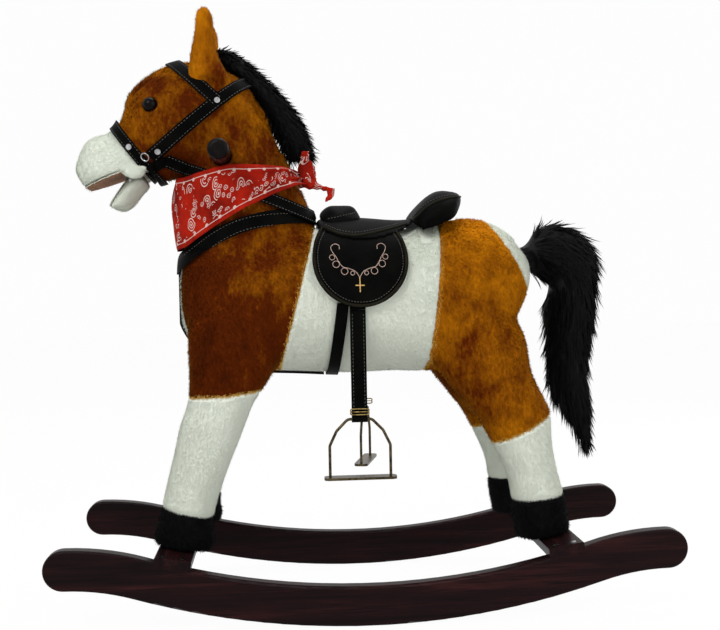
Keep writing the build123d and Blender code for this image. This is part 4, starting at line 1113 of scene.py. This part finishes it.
grid = np.zeros((around, across, 3))
for i, (t, out) in enumerate(zip(turns, outs)):
    x, y = NECK_MIDDLE + NECK_LONG * cos(t), NECK_WIDE * sin(t)
    upper, lower = np.interp(x, *UPPER_HEM), np.interp(x, *LOWER_HEM)
    behind = (1 + cos(t)) / 2
    for j, s in enumerate(shares):
        start = pt(x, upper + (lower - upper) * s, y)
        hit = neck_tree.ray_cast(Vector(start + out * 0.05), Vector(-out), 0.09)[0]
        if hit is None:
            hit = neck_tree.find_nearest(Vector(start))[0]
        fold = sin(s * pi * 5 + 0.8 * sin(2 * t)) * (0.0006 + 0.0016 * behind)
        fold += sin(t * 5 + s * 4) * 0.0009 + sin(t * 11 - s * 7) * 0.0004
        grid[i, j] = np.array(hit) + out * (fold + 0.0006)
for _ in range(3):
    eased(grid, 0.4)
    for j in (0, -1):
        grid[1:-1, j] = 0.5 * grid[1:-1, j] + 0.25 * (grid[2:, j] + grid[:-2, j])
for last in (False, False, True):
    for i, out in enumerate(outs):
        for j in range(across):
            hit = neck_tree.ray_cast(Vector(grid[i, j] + out * 0.04), Vector(-out), 0.045)[0]
            if hit is not None:
                grid[i, j] += out * max(0.0, (np.array(hit) - grid[i, j]) @ out + CLOTH_GAP)
    if not last:
        eased(grid, 0.5)
for i, (t, out) in enumerate(zip(turns, outs)):
    behind = (1 + cos(t)) / 2
    for j, s in enumerate(shares):
        gathered = sin(s * pi * (3.2 + 1.6 * behind) + 0.9 * sin(2 * t)) * 0.0034 * behind
        hanging = sin(t * 6 + s * 5) * 0.0014 + sin(t * 13 - s * 6) * 0.0006
        grid[i, j] += out * max(0.0, gathered + hanging)
edge_far, uvs = np.zeros((around, across)), np.zeros((around, across, 2))
run_u = distances(grid[:, across // 2])
for i in range(around):
    down = distances(grid[i])
    uvs[i, :, 0] = run_u[i]
    uvs[i, :, 1] = down - down[-1] / 2
    edge_far[i] = np.minimum(down, down[-1] - down)
co = grid.reshape(-1, 3)
faces = [(i * across + j, i * across + j + 1, (i + 1) * across + j + 1, (i + 1) * across + j)
         for i in range(around - 1) for j in range(across - 1)]
scarf_normals = vertex_normals(co, tris_of(faces))
if np.mean(np.sum(scarf_normals * (co - pt(NECK_MIDDLE, 400)), axis=1)) < 0:
    scarf_normals = -scarf_normals
inner = len(co)
both = np.vstack([co, co - scarf_normals * CLOTH_THICKNESS])
faces += [tuple(v + inner for v in f[::-1]) for f in faces]
rim = [i * across for i in range(around)] + [(around - 1) * across + j for j in range(1, across)]
rim += [i * across + across - 1 for i in range(around - 2, -1, -1)] + [j for j in range(across - 2, 0, -1)]
faces += [(a, b, b + inner, a + inner) for a, b in zip(rim, rim[1:] + rim[:1])]
scarf = make("bandana_cloth", both, faces, BANDANA)
outward(scarf)


def cloth_maps(obj, uv, edge):
    """Flat place of each point of the cloth, and its distance from the hem."""
    layer = obj.data.uv_layers.new(name="UVMap")
    for loop in obj.data.loops:
        layer.data[loop.index].uv = uv[loop.vertex_index]
    att = obj.data.attributes.new("edge", "FLOAT", "POINT")
    att.data.foreach_set("value", np.asarray(edge, np.float32))


cloth_maps(scarf, np.vstack([uvs.reshape(-1, 2)] * 2), np.concatenate([edge_far.ravel()] * 2))
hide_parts("bandana")

co, faces, tri, normals = skin_of("bandana_knot", size=0.0018, times=3)
crease = sum(np.sin(co @ np.array(waves)) * 0.5 for waves in ((0, 700, 520), (640, 300, -380)))
co = co + normals * (crease * KNOT_CREASE)[:, None]
knot = make("bandana_knot_cloth", co, faces, BANDANA)
cloth_maps(knot, np.column_stack([co[:, 0] + co[:, 1], co[:, 2]]), np.full(len(co), 0.05))
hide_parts("bandana_knot")

# Wood, metal and inner parts keep their CAD solids
coat(WOOD_X, "rocker_left", "rocker_right")
coat(WOOD_Y, "front_slat", "rear_slat")
coat(EBONY, "handle_bar")
coat(PINE_X, "spine_board")
coat(PINE_Z, "leg_posts", "neck_post")
coat(STEEL, "slat_screws", "foot_screws", "jaw_spindle", "bridle_metal")
coat(BRONZE, "stirrup_left", "stirrup_right")
coat(EYE, "eyes")
coat(PLASTIC, "sound_box", "jaw_motor", "tail_motor", "tail_spindle", "ear_switch")


# Floor, light and backdrop
FLOOR_GLOW = 0.965
WORLD_LIGHT, WORLD_SEEN = 0.40, 0.985


def seen_plainly(tree):
    """1 for camera, glossy and transmission rays, otherwise 0."""
    path = tree.nodes.new("ShaderNodeLightPath")
    total = path.outputs["Is Camera Ray"]
    for name in ("Is Glossy Ray", "Is Transmission Ray"):
        larger = tree.nodes.new("ShaderNodeMath")
        larger.operation = "MAXIMUM"
        tree.links.new(total, larger.inputs[0])
        tree.links.new(path.outputs[name], larger.inputs[1])
        total = larger.outputs[0]
    return total


bpy.ops.mesh.primitive_plane_add(size=14, location=(0, 0, -0.0002))
floor = bpy.context.object
floor.name = "floor"
ground = Shade("pale_floor", Roughness=0.9, Specular_IOR_Level=0.05)
ground.colour(ground.ramp(ground.noise(3, 2), (0.3, 0.86), (0.7, 0.88)))
glow = ground.add("Emission", Strength=1.0)
blend = ground.add("MixShader")
ground.link(ground.math("MULTIPLY", seen_plainly(ground.tree), FLOOR_GLOW), blend.inputs[0])
ground.link(ground.bsdf.outputs[0], blend.inputs[1])
ground.link(glow.outputs[0], blend.inputs[2])
ground.link(blend.outputs[0], ground.tree.nodes["Material Output"].inputs["Surface"])
floor.data.materials.append(ground.mat)

world = bpy.data.worlds.new("studio")
scene.world = world
world.use_nodes = True
back = world.node_tree.nodes["Background"]
back.inputs[0].default_value = (1, 1, 1, 1)
level = world.node_tree.nodes.new("ShaderNodeMapRange")
world.node_tree.links.new(seen_plainly(world.node_tree), level.inputs[0])
level.inputs[3].default_value = WORLD_LIGHT
level.inputs[4].default_value = WORLD_SEEN
world.node_tree.links.new(level.outputs[0], back.inputs[1])


def lamp(name, place, aim, size, watts):
    data = bpy.data.lights.new(name, "AREA")
    data.size = size
    data.energy = watts
    obj = bpy.data.objects.new(name, data)
    scene.collection.objects.link(obj)
    obj.location = place
    obj.rotation_euler = (Vector(aim) - Vector(place)).to_track_quat("-Z", "Y").to_euler()


lamp("key", (-1.1, -1.7, 1.9), aim=(-0.05, 0, 0.38), size=1.3, watts=34)
lamp("fill", (1.5, -1.5, 1.1), aim=(0.05, 0, 0.35), size=1.4, watts=12)
lamp("top", (0.2, 0.5, 2.2), aim=(0, 0, 0.4), size=1.4, watts=20)
lamp("rim", (1.5, 0.9, 0.9), aim=(0.1, 0, 0.35), size=0.9, watts=12)
